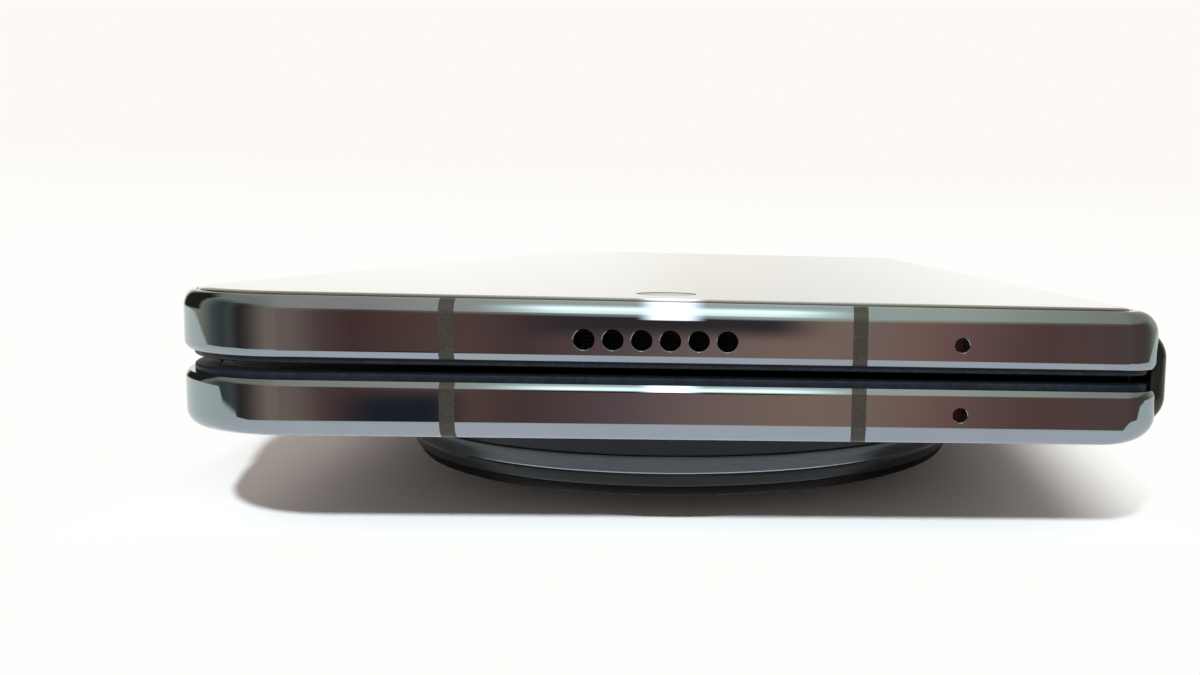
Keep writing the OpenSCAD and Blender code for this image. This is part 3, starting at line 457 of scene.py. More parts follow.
# A hole through an end wall, with a small chamfer at its mouth; end is -1 for the top edge, 1 for the bottom
def portHole(x, w, radius, end):
    outside = plan["end"] + ports["reach"]
    inside = plan["end"] - plan["wall"] - 0.6
    bm = turned([(0, inside), (radius, inside), (radius, plan["end"] - ports["mouth"]),
                 (radius + ports["mouth"] + ports["reach"], outside), (0, outside)], steps=32)
    return layAlongY(bm, x, w, -90 * end)


def speakerHoles(x, w, end):
    first = (1 - ports["speakerCount"]) / 2
    return [portHole(x + (first + i) * ports["speakerPitch"], w, ports["speakerRadius"], end)
            for i in range(ports["speakerCount"])]


def bottomSlot(x, w, width, height):       # a slot with round ends through the bottom wall
    radius = height / 2 - 0.001
    return roundedBlock((x - width / 2, plan["end"] - plan["wall"] - 1, w - height / 2),
                        (x + width / 2, plan["end"] + 1, w + height / 2), 1, radius, radius, 10)


def sideSlot(y, length, height, x0, x1):   # one through the free side, where the buttons are
    radius = height / 2 - 0.001
    w = ports["buttonW"]
    return roundedBlock((x0, y - length / 2, w - height / 2), (x1, y + length / 2, w + height / 2),
                        0, radius, radius, 10)


def bandBoxes():
    width, deep, end, past = ports["bandWidth"] / 2, ports["bandDepth"], plan["end"], ports["past"]
    made = []
    for side in (-1, 1):
        near = plan["middle"] + side * ports["bandNear"]
        far = plan["middle"] + side * ports["bandFar"]
        made.append(box(near - width, near + width, -end - past, deep - end, ports["bandFloor"], plan["above"] + 0.5))
        made.append(box(far - width, far + width, end - deep, end + past, ports["bandFloor"], plan["above"] + 0.5))
    return made


# What is cut from both halves: the bay, the round pocket for the spine, the loop's room and the leaves' seats
def sharedCuts():
    pocket, floor, axisX, depth = plan["pocketEnd"], plan["bayFloor"], plan["axisX"], plan["axisDepth"]
    cuts = [planPlate(plan["wall"], plan["baySide"], plan["bayCorner"], floor, plan["above"]),
            layAlongY(rod(plan["pocketRadius"], -pocket, pocket, steps=64), axisX, depth),
            box(axisX, plan["hinge"] + 1, -pocket, pocket, depth, depth + plan["pocketRadius"]),
            box(plan["loopSide"], axisX, -plan["loopEnd"], plan["loopEnd"], 0, floor)]
    side, reach, top = plan["leafSide"], plan["leafHalf"], plan["leafTop"]
    return cuts + [box(side, axisX - 1, y - reach, y + reach, floor, top) for y in plan["leafPlaces"]]


def placeHalf(piece, half):
    reshape(piece, Matrix.Translation((0, 0, half["lip"])) @ Matrix.Diagonal((1, 1, half["way"], 1)))


def recessesOf(half):
    return [planPlate(*recess, plan["above"]) for recess in half["recesses"]]


# A half's metal frame, and its four antenna bands, cut flush with it
def makeHalf(side, holes):
    half, body = halves[side], side + "_half"
    piece = asObject(halfBlock(half), side + "Frame")
    carve(piece, sharedCuts() + recessesOf(half) + bandBoxes() + holes)
    placeHalf(piece, half)
    finishPiece(piece, body, polishedMetal, (side + "_frame",))
    print(side, "half's frame made,", len(piece.data.polygons), "faces")
    joined = bmesh.new()
    for tool in bandBoxes():
        band = carve(asObject(halfBlock(half), side + "Bands"), [tool], "INTERSECT")
        joined.from_mesh(band.data)
        bpy.data.objects.remove(band)
    piece = carve(asObject(joined, side + "Bands"), recessesOf(half)[:1])
    placeHalf(piece, half)
    finishPiece(piece, body, bandPlastic, (side + "_antenna_inserts",))


cover, lower = halves["cover"], halves["camera"]
buttonHoles = [sideSlot(y, length, ports["buttonHeight"], plan["free"] - 1, plan["free"] + plan["wall"] + 1)
               for y, length in ((ports["powerY"], ports["powerLength"]), (ports["volumeY"], ports["volumeLength"]))]
makeHalf("cover", speakerHoles(plan["middle"], ports["speakerW"], -1)
         + [portHole(ports["microphoneX"], ports["coverMicrophoneW"], ports["microphoneRadius"], -1)])
makeHalf("camera", speakerHoles(ports["lowSpeakerX"], ports["socketW"], 1)
         + [portHole(ports["microphoneX"], ports["cameraMicrophoneW"], ports["microphoneRadius"], -1),
            portHole(ports["lowMicrophoneX"], ports["cameraMicrophoneW"], ports["microphoneRadius"], 1),
            bottomSlot(plan["middle"], ports["socketW"], ports["socketWidth"], ports["socketHeight"]),
            bottomSlot(ports["trayX"], ports["trayW"], ports["trayWidth"], ports["trayHeight"])]
         + buttonHoles + [rod(ports["innerCameraRadius"], 0, 3, ports["innerCamera"], 48)])


def flatPlate(values, lowered=0):
    bm = planPlate(values["inset"], values["hingeSide"], values["hingeRadius"], values["low"],
                   values["high"] - lowered)
    bmesh.ops.recalc_face_normals(bm, faces=bm.faces)
    return bm


# Rounds the rim of a plate's flat face at this height
def softenRim(bm, height, radius):
    rim = [e for e in bm.edges if all(abs(v.co.z - height) < same for v in e.verts)
           and any(abs(f.normal.z) < 0.5 for f in e.link_faces)]
    roundOff(bm, rim, radius, 4)


# Crowns a plate's upper face: its rim falls by rise over the distance across
def crownRim(bm, across, rise, steps=9):
    top = max(bm.faces, key=lambda f: f.calc_center_median().z)
    wide, high = 0, 0
    for i in range(1, steps + 1):
        turn = math.radians(90 * i / steps)
        nextWide, nextHigh = across * (1 - math.cos(turn)), rise * math.sin(turn)
        bmesh.ops.inset_individual(bm, faces=[top], thickness=nextWide - wide, depth=nextHigh - high,
                                   use_even_offset=True)
        wide, high = nextWide, nextHigh


glassValues = {"inset": 0.9, "hingeSide": 33.75, "hingeRadius": 2.5, "low": 15.6, "high": 16.2,
               "crown": (0.9, 0.26)}
frontCamera = {"place": (-0.825, -72.7), "radius": 2.25, "gap": 0.05, "floor": 15.7, "clear": 17,
               "window": 16.17, "bevel": 0.05, "steps": 64}
bm = flatPlate(glassValues, glassValues["crown"][1])
crownRim(bm, *glassValues["crown"])
outerGlass = carve(asObject(bm, "outerGlass"), [rod(frontCamera["radius"], frontCamera["floor"], frontCamera["clear"],
                                                    frontCamera["place"], frontCamera["steps"])])
finishPiece(outerGlass, "cover_half", coverGlass, ("cover_glass",))
windowRadius, windowTop, windowBevel = (frontCamera["radius"] - frontCamera["gap"], frontCamera["window"],
                                        frontCamera["bevel"])
window = turned([(0, glassValues["low"]), (windowRadius, glassValues["low"]),
                 (windowRadius, windowTop - windowBevel), (windowRadius - windowBevel, windowTop), (0, windowTop)],
                frontCamera["place"], frontCamera["steps"])
finishPiece(asObject(window, "frontCameraWindow"), "cover_half", cameraWindow, (), 30, False)

# Camera housing, profiles as (radius, height)
housing = {
    "centre": (-0.825, -45.0),
    "skirt": [(25.2, 6.75), (26.2, 6.75), (26.2, 6.2), (28, 6.2), (27.97, 6.0), (27.85, 5.8), (27.3, 3.9),
              (27.2, 3.6), (25.2, 3.6)],
    "ring": [(23.2, 3.6), (27.2, 3.6), (27.28, 3.56), (27.3, 3.5), (27.27, 3.2), (27.15, 2.8), (26.95, 2.45),
             (26.88, 2.2), (23.2, 2.2)],
    "edge": [(23.2, 2.18), (26.86, 2.18), (26.85, 2.14), (26.8, 2.08), (26.72, 2.05), (26.6, 2.04), (23.2, 2.04)],
    "rim": [(23.2, 2.02), (26.56, 2.02), (26.6, 1.96), (26.56, 1.7), (26.4, 1.2), (26.28, 0.98), (26.2, 0.92),
            (23.2, 0.92)],
    "seal": [(23.2, 0.9), (26.08, 0.9), (26.12, 0.84), (26.04, 0.6), (25.9, 0.35), (25.72, 0.14), (25.56, 0.05),
             (25.4, 0.02), (25.25, 0.02), (25.25, 0.5), (23.2, 0.5)],
    "glass": [(0, 0.8), (23.1, 0.8), (23.1, 0.48), (25.2, 0.48), (25.2, 0.12), (25.15, 0.04), (25.05, 0), (0, 0)],
    "steps": 128,
}
backValues = {"inset": 1.0, "hingeSide": 33.05, "hingeRadius": 2.5, "low": 6.2, "high": 6.7, "rim": 0.2,
              "hole": 26.3}
bm = flatPlate(backValues)
softenRim(bm, backValues["low"], backValues["rim"])
backPanel = carve(asObject(bm, "backPanel"), [rod(backValues["hole"], 5, 8, housing["centre"])])
finishPiece(backPanel, "camera_half", backGlass, ("back_cover",))
print("glass and back made")

for name, part, material, slot, replaced, sharp in (
        ("bumpSkirt", "skirt", skirtMetal, "bump_skirt", ("bump_base",), 30),
        ("bumpRing", "ring", ringMetal, "bump_metal", ("bump_ring",), 50),
        ("bumpRingEdge", "edge", polishedMetal, "bump_metal", (), 50),
        ("bumpRim", "rim", rimMetal, "bump_metal", (), 50),
        ("bumpSeal", "seal", sealRubber, "gasket", (), 50)):
    piece = asObject(turned(housing[part], housing["centre"], housing["steps"], True), name)
    finishPiece(piece, "camera_half", material, replaced, sharp, False)

# Coated optical glass: a dark front element whose colour turns violet where it is seen edge-on, a painted sheen of
# its coating
coatingSheenValues = {"blend": 0.4, "middle": (0.1, "#0B1030"), "rim": (0.5, "#1B0F33")}
lensCoated, tree, shader, place = startMaterial("coatedLensElement", IOR=1.7, Roughness=0.01, Coat_Weight=0.6,
                                                Coat_Roughness=0.01)
facing = addNode(tree, "LayerWeight", inputs={"Blend": coatingSheenValues["blend"]})
# painted sheen: the colour follows how edge-on the glass is seen
tone = addNode(tree, "ValToRGB", inputs={"Fac": facing.outputs["Facing"]},
               stops=[(at, linear(code)) for at, code in (coatingSheenValues["middle"], coatingSheenValues["rim"])])
tree.links.new(tone.outputs[0], shader.inputs["Base Color"])

lensValues = {       # the lenses' places from the housing's middle and their radii
    "lenses": {"main": (-10.8, 5.6, 8.0), "wide": (10.8, 5.6, 7.2), "tele": (0.0, -12.6, 7.2)},
    "border": 0.9, "depth": 0.62, "steps": 64,
    # profiles as (distance in from the hole's wall, height)
    "trim": [(0, 0.05), (0, 0.6), (0.5, 0.6), (0.55, 0.3), (0.3, 0.05)],
    "baffle": [(0.52, 0.3), (1.2, 0.3), (1.2, 0.42), (2.0, 0.42), (2.0, 0.52), (2.6, 0.52), (2.6, 0.6),
               (0.52, 0.6)],
    "elementInset": 2.62,
    "dome": [(1, 0.6), (1, 0.5), (0.7, 0.4), (0.35, 0.33), (0, 0.3)],       # (share of its radius, height)
}
flashValues = {"place": (0.0, 16.6), "hole": 1.7, "depth": 0.4, "steps": 48,
               "profile": [(0, 0.4), (1.68, 0.4), (1.68, 0.12), (1.5, 0.05), (1.2, 0.1), (0.9, 0.05), (0.6, 0.1),
                           (0.3, 0.05), (0, 0.08)]}


def fromHousing(x, y):
    return housing["centre"][0] + x, housing["centre"][1] + y


flashPlace = fromHousing(*flashValues["place"])
bumpGlass = asObject(turned(housing["glass"], housing["centre"], housing["steps"]), "bumpGlass")
carve(bumpGlass, [rod(radius - lensValues["border"], -1, lensValues["depth"], fromHousing(x, y), lensValues["steps"])
                  for x, y, radius in lensValues["lenses"].values()])
carve(bumpGlass, [rod(flashValues["hole"], -1, flashValues["depth"], flashPlace, flashValues["steps"])])
finishPiece(bumpGlass, "camera_half", lensBlack, ("bump_glass",), 30, False)
for name, (x, y, radius) in lensValues["lenses"].items():
    hole = radius - lensValues["border"]
    element = hole - lensValues["elementInset"]
    for part, profile, closed, material, slot, sharp in (
            ("LensTrim", [(hole - d, h) for d, h in lensValues["trim"]], True, ringMetal,
             "bump_metal", 30),
            ("LensBaffle", [(hole - d, h) for d, h in lensValues["baffle"]], True, lipPlastic,
             "camera_body", 30),
            ("LensElement", [(0, 0.6)] + [(element * share, h) for share, h in lensValues["dome"]], False,
             lensCoated, "camera_glass", 50)):
        piece = asObject(turned(profile, fromHousing(x, y), lensValues["steps"], closed), name + part)
        finishPiece(piece, "camera_half", material, (), sharp, False)
flashLens = asObject(turned(flashValues["profile"], flashPlace, flashValues["steps"]), "flashLens")
finishPiece(flashLens, "camera_half", bpy.data.materials["frostedFlashLens"], (), 30, False)
print("camera housing made")

# Spine: a bar round both hinge axes, opened on the inner side and given its wall, with a rounded plug at each end
bar = {"radius": 2.22, "wall": 0.45, "end": 78.0, "plug": 1.25, "plugInside": 0.6, "plugFlat": 0.03,
               "back": 32.0, "cut": 35.13, "axes": (9.6, 12.4)}


def spineBar(y0, y1):
    radius, (lowAxis, highAxis) = bar["radius"], bar["axes"]
    return roundedBlock((bar["back"], y0, lowAxis - radius), (plan["axisX"] + radius, y1, highAxis + radius),
                        1, 0, radius - 0.001, 20)


shoulder = bar["end"] - bar["plug"]
bm = spineBar(-shoulder, shoulder)
bmesh.ops.delete(bm, geom=[f for f in bm.faces if abs(f.normal.y) > 0.9], context="FACES")
bmesh.ops.bisect_plane(bm, geom=bm.verts[:] + bm.edges[:] + bm.faces[:], plane_co=(bar["cut"], 0, 0),
                       plane_no=(-1, 0, 0), clear_outer=True)
bmesh.ops.recalc_face_normals(bm, faces=bm.faces)
bmesh.ops.solidify(bm, geom=bm.faces[:], thickness=bar["wall"])
finishPiece(asObject(bm, "spine"), "spine", spineMetal, ("spine_cover",))

plugs = bmesh.new()
for side in (-1, 1):
    inner, outer = side * (shoulder - bar["plugInside"]), side * bar["end"]
    bm = spineBar(min(inner, outer), max(inner, outer))
    roundOff(bm, [e for e in bm.edges if all(abs(v.co.y - outer) < same for v in e.verts)],
               bar["plug"] - bar["plugFlat"], 8)
    plug = carve(asObject(bm, "plug"), [box(30, bar["cut"], -80, 80, 5, 17)])
    plugs.from_mesh(plug.data)
    bpy.data.objects.remove(plug)
finishPiece(asObject(plugs, "spineEndCaps"), "spine", spineMetal, ("spine_end_caps",), 50)
print("spine made")

# Folding display: one strip between each half and the spine, a mirror pair at the fold plane
fold = {"axis": (34.38, 9.6), "from": -4.73, "to": 1.4, "rise": 1.0, "start": (33.0, 10.0), "end": (33.3, 11.0),
        "thickness": 0.1, "halfLength": 78.1, "mirror": 11.0, "trials": 1000, "grid": (40, 24)}


def foldPoint(u, share):      # (x, height) of the strip's point u past the axis, after a share of the quarter turn
    turn = share * math.pi / 2
    return Vector((fold["axis"][0] + u * math.cos(turn) - fold["rise"] * math.sin(turn),
                   fold["axis"][1] + u * math.sin(turn) + fold["rise"] * math.cos(turn)))


def foldShare(u):         # the share of the quarter turn at which the strip's rest shape agrees with the blend
    start, end = Vector(fold["start"]), Vector(fold["end"])
    run = end - start
    for i in range(fold["trials"] + 1):
        share = i / fold["trials"]
        along = min(1, max(0, (foldPoint(u, share) - start).dot(run) / run.dot(run)))
        if share >= along * along * (3 - 2 * along) - 1e-6:
            return share
    return 0


def foldStrip(name, mirrored):
    bm = bmesh.new()
    bmesh.ops.create_grid(bm, x_segments=fold["grid"][0], y_segments=fold["grid"][1], size=1)
    for vert in bm.verts:
        u = fold["from"] + (fold["to"] - fold["from"]) * (vert.co.x + 1) / 2
        at = foldPoint(u, foldShare(u))
        vert.co = Vector((at.x, vert.co.y * fold["halfLength"], at.y))
    bmesh.ops.recalc_face_normals(bm, faces=bm.faces)
    if sum(face.normal.z for face in bm.faces) < 0:
        bmesh.ops.reverse_faces(bm, faces=bm.faces[:])
    bmesh.ops.solidify(bm, geom=bm.faces[:], thickness=fold["thickness"])
    place = Matrix.Identity(4)
    if mirrored:
        place = Matrix.Translation((0, 0, 2 * fold["mirror"])) @ Matrix.Diagonal((1, 1, -1, 1))
    bmesh.ops.transform(bm, matrix=place, verts=bm.verts)
    strip = asObject(bm, name)
    dress(strip, displayFilm, 40)
    points = [place @ Vector((x, 0, z)) * metre for x, z in (fold["start"], fold["end"])]
    if mirrored:
        points.reverse()
    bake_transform(strip)
    return strip


lowStrip = foldStrip("foldStripLower", False)
foldStrip("foldStripUpper", True)
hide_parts("display_fold")
print("folding display made")

# The soft lips that keep the halves apart: C-shaped, open to the hinge, with their inner edges rounded
lipValues = {"inset": 0.6, "low": 0, "high": 0.5, "soft": 0.18, "hingeSide": 35.1, "hingeRadius": 2.4,
             "windowInset": (2.5, 1.8), "windowRadius": 7.5, "windowEnd": 45}
for name, half, body, node in (("lipCover", cover, "cover_half", "inner_bezel_cover"),
                               ("lipCamera", lower, "camera_half", "inner_bezel_camera")):
    bm = flatPlate(lipValues)
    softenRim(bm, lipValues["low"], lipValues["soft"])
    fromFree, fromEnd = lipValues["windowInset"]
    opening = roundedBlock((plan["free"] + fromFree, fromEnd - plan["end"], -1),
                           (lipValues["windowEnd"], plan["end"] - fromEnd, 2), 2, lipValues["windowRadius"], 0, 16)
    lip = carve(asObject(bm, name), [opening])
    placeHalf(lip, half)
    finishPiece(lip, body, lipPlastic, (node,))
print("lips made")

# Buttons: a rounded key that stands out of the free edge, with its flange inside the wall
keyForm = {"proud": 0.3, "gap": 0.08, "soft": 0.2, "flange": 0.25, "behind": 0.3, "flangeLength": 0.5,
                "flangeHeight": 0.3, "weld": 0.005}
for name, node, y, length in (("powerKey", "power_button", ports["powerY"], ports["powerLength"]),
                              ("volumeKey", "volume_button", ports["volumeY"], ports["volumeLength"])):
    face = plan["free"] - keyForm["proud"]
    back = plan["free"] + plan["wall"] + keyForm["behind"]
    slack = 2 * keyForm["gap"]
    bm = sideSlot(y, length - slack, ports["buttonHeight"] - slack, face, back)
    bmesh.ops.remove_doubles(bm, verts=bm.verts, dist=keyForm["weld"])
    bmesh.ops.recalc_face_normals(bm, faces=bm.faces)
    roundOff(bm, [e for e in bm.edges if all(abs(v.co.x - face) < same for v in e.verts)],
               keyForm["soft"], 4)
    key = asObject(bm, name)
    halfLength = length / 2 + keyForm["flangeLength"]
    halfHeight = ports["buttonHeight"] / 2 + keyForm["flangeHeight"]
    carve(key, [box(back, back + keyForm["flange"], y - halfLength, y + halfLength,
                    ports["buttonW"] - halfHeight, ports["buttonW"] + halfHeight)], "UNION")
    placeHalf(key, lower)
    finishPiece(key, node, polishedMetal, (node,))
print("buttons made")

# Studio: a white floor that keeps the shadow, one small key lamp, and a room of bands of colour
sheet = {
    "slope": 0.062, "shift": 20.9,                   # the phone leans on its camera housing
    "side": 110, "front": -150, "back": 235,
    "corner": (84, -117), "cornerSlope": 0.415, "round": 30,           # its front corners are cut off
    # mm, where the floor's own shading, which holds the shadow, gives way to paper white; on the hinge side this
    # starts inside the cast shadow, so that end of the shadow is lightened by painted light
    "shadowFree": (42.5, 47.5), "shadowHingePaintedLight": (31, 45), "shadowEnds": (68, 73),
    "paper": "#FBFAF8", "seen": "#FEFFFC", "mirrored": ("#F5EEED", "#E9EBE0"), "mirroredSpan": (35, 85),
}
# Matt coated paper: white with no grain that shows, so the shadow alone is drawn on it
white, tree, shader, place = startMaterial("paperSweep", Roughness=0.9,
                                           Base_Color=linear(sheet["paper"]))
floorAxes = addNode(tree, "SeparateXYZ", inputs={0: place})
alongFloor = addNode(tree, "Math", {"operation": "ABSOLUTE"}, {0: floorAxes.outputs["Y"]})
towardsFree = addNode(tree, "Math", {"operation": "MULTIPLY"}, {0: floorAxes.outputs["X"], 1: -1})
away = 0
for distance, (near, far) in ((towardsFree.outputs[0], sheet["shadowFree"]),
                              # starts inside the shadow: painted light on the shadow's hinge end
                              (floorAxes.outputs["X"], sheet["shadowHingePaintedLight"]),
                              (alongFloor.outputs[0], sheet["shadowEnds"])):
    fading = addNode(tree, "MapRange", {"interpolation_type": "SMOOTHSTEP"},
                     {0: distance, 1: near * metre, 2: far * metre})
    away = addNode(tree, "Math", {"operation": "MAXIMUM"}, {0: fading.outputs[0], 1: away}).outputs[0]
floorRays = addNode(tree, "LightPath")
seen = floorRays.outputs["Is Camera Ray"]
for kind in ("Is Glossy Ray", "Is Transmission Ray"):
    seen = addNode(tree, "Math", {"operation": "MAXIMUM"}, {0: seen, 1: floorRays.outputs[kind]}).outputs[0]
share = addNode(tree, "Math", {"operation": "MULTIPLY"}, {0: away, 1: seen})
fromMiddle = addNode(tree, "Math", {"operation": "ABSOLUTE"}, {0: floorAxes.outputs["X"]})
outwards = addNode(tree, "MapRange", inputs={0: fromMiddle.outputs[0], 1: sheet["mirroredSpan"][0] * metre,
                                             2: sheet["mirroredSpan"][1] * metre})
tint = addNode(tree, "Mix", {"data_type": "RGBA"}, {0: outwards.outputs[0], 6: linear(sheet["mirrored"][0]),
                                                    7: linear(sheet["mirrored"][1])})
paper = addNode(tree, "Mix", {"data_type": "RGBA"}, {0: floorRays.outputs["Is Glossy Ray"],
                                                     6: linear(sheet["seen"]), 7: tint.outputs[2]})
glow = addNode(tree, "Emission", inputs={"Color": paper.outputs[2], "Strength": 1.0})
blend = addNode(tree, "MixShader", inputs={0: share.outputs[0], 1: shader.outputs[0], 2: glow.outputs[0]})
tree.links.new(blend.outputs[0], tree.nodes["Material Output"].inputs[0])

bm = bmesh.new()
bmesh.ops.create_grid(bm, x_segments=1, y_segments=1, size=1)
depth = sheet["back"] - sheet["front"]
bmesh.ops.scale(bm, vec=(sheet["side"], depth / 2, 1), verts=bm.verts)
bmesh.ops.translate(bm, vec=(0, sheet["front"] + depth / 2, 0), verts=bm.verts)
for side in (-1, 1):
    bmesh.ops.bisect_plane(bm, geom=bm.verts[:] + bm.edges[:] + bm.faces[:],
                           plane_co=(side * sheet["corner"][0], sheet["corner"][1], 0),
                           plane_no=(side * sheet["cornerSlope"], -1, 0), clear_outer=True)
roundOff(bm, [v for v in bm.verts if v.co.y < 0 and abs(v.co.x) > sheet["side"] - 0.01],
         sheet["round"], 10, "VERTICES", False)
lean = Matrix.Identity(4)
lean[2][1] = sheet["slope"]
lean[2][3] = sheet["slope"] * sheet["shift"]
bmesh.ops.transform(bm, matrix=lean, verts=bm.verts)
floor = asObject(bm, "floor")
reshape(floor, Matrix.Scale(metre, 4))
if floor.data.polygons[0].normal.z < 0:
    floor.data.flip_normals()
floor.data.materials.append(white)

lampValues = {"place": (-2.7, -189, 82.7), "target": (0, -55, 8), "radius": 3.4, "power": 0.34, "colour": "#F0FAFF"}
lamp = bpy.data.objects.new("keyLamp", bpy.data.lights.new("keyLamp", "AREA"))
bpy.context.collection.objects.link(lamp)
lamp.data.shape = "DISK"
lamp.data.size = 2 * lampValues["radius"] * metre
lamp.data.energy = lampValues["power"]
lamp.data.color = linear(lampValues["colour"])[:3]
lamp.visible_glossy = False             # the room below holds the lamps that the metal mirrors
lamp.location = Vector(lampValues["place"]) * metre
aim = Vector(lampValues["target"]) - Vector(lampValues["place"])
lamp.rotation_euler = aim.to_track_quat("-Z", "Y").to_euler()

# The room that the metal and the glass mirror, by direction: x to the right, y away behind the phone, z up,
# turn in degrees round from straight before the phone, lift in degrees up from there
roomValues = {
    "level": [     # (turn, colour): furniture in half shade, with a dark doorway and a pale cloth on the left
        (-180, "#C8C2B0"), (-112, "#B4AE9C"), (-98, "#A4A08B"), (-84, "#696C65"), (-74, "#505955"),
        (-66, "#656361"), (-57, "#453F38"), (-50, "#5F524B"), (-41, "#8E7769"), (-33, "#AA907F"),
        (-24.5, "#AA9081"), (-22, "#694842"), (-16, "#816157"), (-13, "#6F504B"), (-8, "#8E6C6A"),
        (-4, "#AA877C"), (2.5, "#BF9781"), (5.6, "#B89381"), (8.7, "#B38171"), (11.7, "#976E67"),
        (14.7, "#845D55"), (20, "#7A6258"), (45, "#735950"), (68, "#6C5D50"), (85, "#766C5D"),
        (100, "#9C9587"), (117, "#CBC4B3"), (180, "#C8C2B0")],
    "tableEdge": [   # (share of half a turn, rise): the white table ends near before the phone, further at its sides
        (0.278, 0), (0.344, 0.14), (0.417, 0.173), (0.472, 0.28), (0.511, 0.33), (0.583, 0.4), (0.656, 0.45),
        (0.722, 0.55), (0.778, 1)],
    "tableRise": (0.3, -0.2),            # z of the edge is the rise times the first, plus the second
    "ceiling": [(0.0, "#A4A290"), (0.2, "#AEAA9A"), (0.33, "#CEC2B5"), (0.4, "#E7E6D6"), (0.455, "#F3F1E2"),
                (0.52, "#F1F5E5"), (0.59, "#E2E2CB"), (0.65, "#C5C0AC"), (0.8, "#AEAA95")],     # (side, colour)
    "ceilingDrop": -0.4,                 # it starts higher up at the sides
    "sweep": [(0.3, "#FFFFFA"), (0.36, "#FFFFFB"), (0.42, "#FBFAF5"), (0.468, "#F2EFE8"), (0.515, "#F0EEE8"),
              (0.54, "#F2F1EC"), (0.61, "#FFFFFC")],
    "backdrop": ("#FEFFFC", "#FDFAF6"), "backdropSpan": (-0.012, 0.06),
    "fill": ("#FFEFE8", 0.5),
}
# What is laid on the level band in turn: colour or ramp, strength, and fades as (direction, none at, full at)
roomLayers = [
    # a dark cabinet above, a navy cushion below, and the white table
    ("#4E4243", 1, [("x", -0.25, -0.18), ("x", 0.07, 0.0), ("z", -0.106, -0.088)]),
    ("#32353C", 1, [("x", -0.385, -0.335), ("x", -0.255, -0.30), ("z", -0.138, -0.158)]),
    ("#E9EBE0", 1, [("belowTable", -0.004, 0.004)]),
    # a grey-green ceiling, and the doorway
    ("ceiling", 1, [("height", 0.0, 0.26)]),
    ("#2E2E24", 1, [("turn", -142, -134), ("turn", -96, -104), ("z", -0.07, -0.03), ("z", 0.66, 0.5)]),
    # a mint-white window, and a narrow lamp that runs from front to back
    ("#F5FFF0", 3.0, [("x", -0.27, -0.17), ("x", 0.1, 0.0), ("lift", 12, 36), ("lift", 74, 44)]),
    ("#FFFFFF", 3.4, [("x", -0.123, -0.101), ("x", -0.055, -0.079), ("z", -0.07, -0.02)]),
    # the white sweep behind the phone, low down, where the glass mirrors it
    ("sweep", 1, [("y", 0.0, 0.25), ("z", 0.2, 0.12), ("aside", 0.75, 0.5)]),
]
world = bpy.data.worlds.new("studio")
bpy.context.scene.world = world
world.use_nodes = True
tree = world.node_tree
tree.nodes.clear()
compass = addNode(tree, "SeparateXYZ", inputs={0: addNode(tree, "TexCoord").outputs["Generated"]})
directions = {axis.lower(): compass.outputs[axis] for axis in "XYZ"}
ahead = addNode(tree, "Math", {"operation": "MULTIPLY"}, {0: directions["y"], 1: -1}).outputs[0]
for name, axis in (("turn", "x"), ("lift", "z")):
    directions[name] = addNode(tree, "Math", {"operation": "ARCTAN2"}, {0: directions[axis], 1: ahead}).outputs[0]
for name, value in (("aside", directions["x"]), ("turned", directions["turn"])):
    directions[name] = addNode(tree, "Math", {"operation": "ABSOLUTE"}, {0: value}).outputs[0]
side = addNode(tree, "MapRange", inputs={0: directions["x"], 1: -1, 2: 1}).outputs[0]
around = addNode(tree, "MapRange", inputs={0: directions["turn"], 1: -math.pi, 2: math.pi}).outputs[0]
halfTurn = addNode(tree, "MapRange", inputs={0: directions["turned"], 2: math.pi}).outputs[0]
rise = addNode(tree, "ValToRGB", inputs={"Fac": halfTurn},
               stops=[(at, (high, high, high, 1)) for at, high in roomValues["tableEdge"]])
tableEnd = addNode(tree, "Math", {"operation": "MULTIPLY_ADD"},
                   {0: rise.outputs[0], 1: roomValues["tableRise"][0], 2: roomValues["tableRise"][1]})
directions["belowTable"] = addNode(tree, "Math", {"operation": "SUBTRACT"},
                                   {0: tableEnd.outputs[0], 1: directions["z"]}).outputs[0]
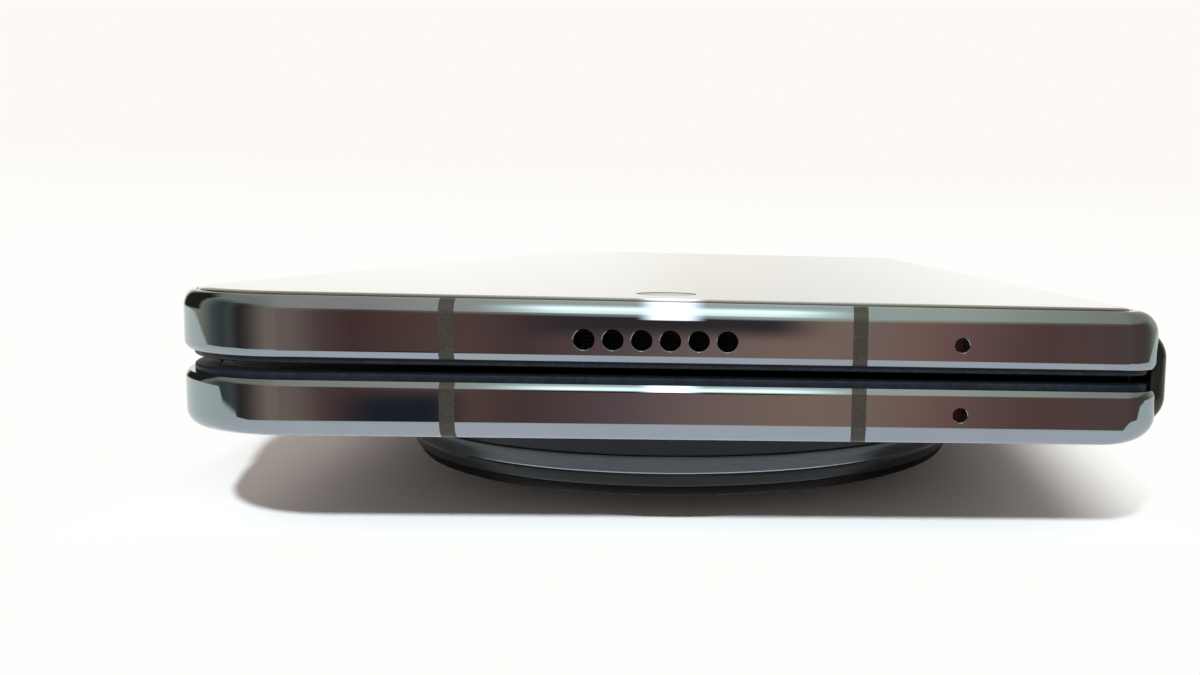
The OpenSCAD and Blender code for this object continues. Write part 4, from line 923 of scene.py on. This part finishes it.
directions["height"] = addNode(tree, "Math", {"operation": "MULTIPLY_ADD"},
                               {0: directions["aside"], 1: roomValues["ceilingDrop"], 2: directions["z"]}).outputs[0]
ramps = {name: addNode(tree, "ValToRGB", inputs={"Fac": side},
                       stops=[(at, linear(code)) for at, code in roomValues[name]]).outputs[0]
         for name in ("ceiling", "sweep")}


# Lays one colour on another where all of its fades agree
def layOn(under, on, fades):
    shares = [addNode(tree, "MapRange", {"interpolation_type": "SMOOTHSTEP"}, {0: value, 1: start, 2: full})
              for value, start, full in fades]
    share = shares[0].outputs[0]
    for other in shares[1:]:
        share = addNode(tree, "Math", {"operation": "MULTIPLY"}, {0: share, 1: other.outputs[0]}).outputs[0]
    return addNode(tree, "Mix", {"data_type": "RGBA"}, {0: share, 6: under, 7: on}).outputs[2]


room = addNode(tree, "ValToRGB", inputs={"Fac": around},
               stops=[(0.5 + turn / 360, linear(code)) for turn, code in roomValues["level"]]).outputs[0]
inDegrees = {"turn": math.radians(1), "lift": math.radians(1)}
for colour, strength, spans in roomLayers:
    fades = [(directions[name], *[limit * inDegrees.get(name, 1) for limit in span]) for name, *span in spans]
    room = layOn(room, ramps[colour] if colour in ramps else linear(colour, strength), fades)
backdrop = layOn(*[linear(code) for code in roomValues["backdrop"]], [(directions["z"], *roomValues["backdropSpan"])])
fillColour, fillStrength = roomValues["fill"]
mirrored = addNode(tree, "Background", inputs={"Color": room, "Strength": 1.0})
shown = addNode(tree, "Background", inputs={"Color": backdrop, "Strength": 1.0})
fill = addNode(tree, "Background", inputs={"Color": linear(fillColour), "Strength": fillStrength})
worldRays = addNode(tree, "LightPath")
direct = addNode(tree, "Math", {"operation": "MAXIMUM"},
                 {0: worldRays.outputs["Is Camera Ray"], 1: worldRays.outputs["Is Transmission Ray"]})
mix = addNode(tree, "MixShader", inputs={0: worldRays.outputs["Is Glossy Ray"], 1: fill.outputs[0],
                                         2: mirrored.outputs[0]})
mix = addNode(tree, "MixShader", inputs={0: direct.outputs[0], 1: mix.outputs[0], 2: shown.outputs[0]})
addNode(tree, "OutputWorld", inputs={"Surface": mix.outputs[0]})
print("studio made")
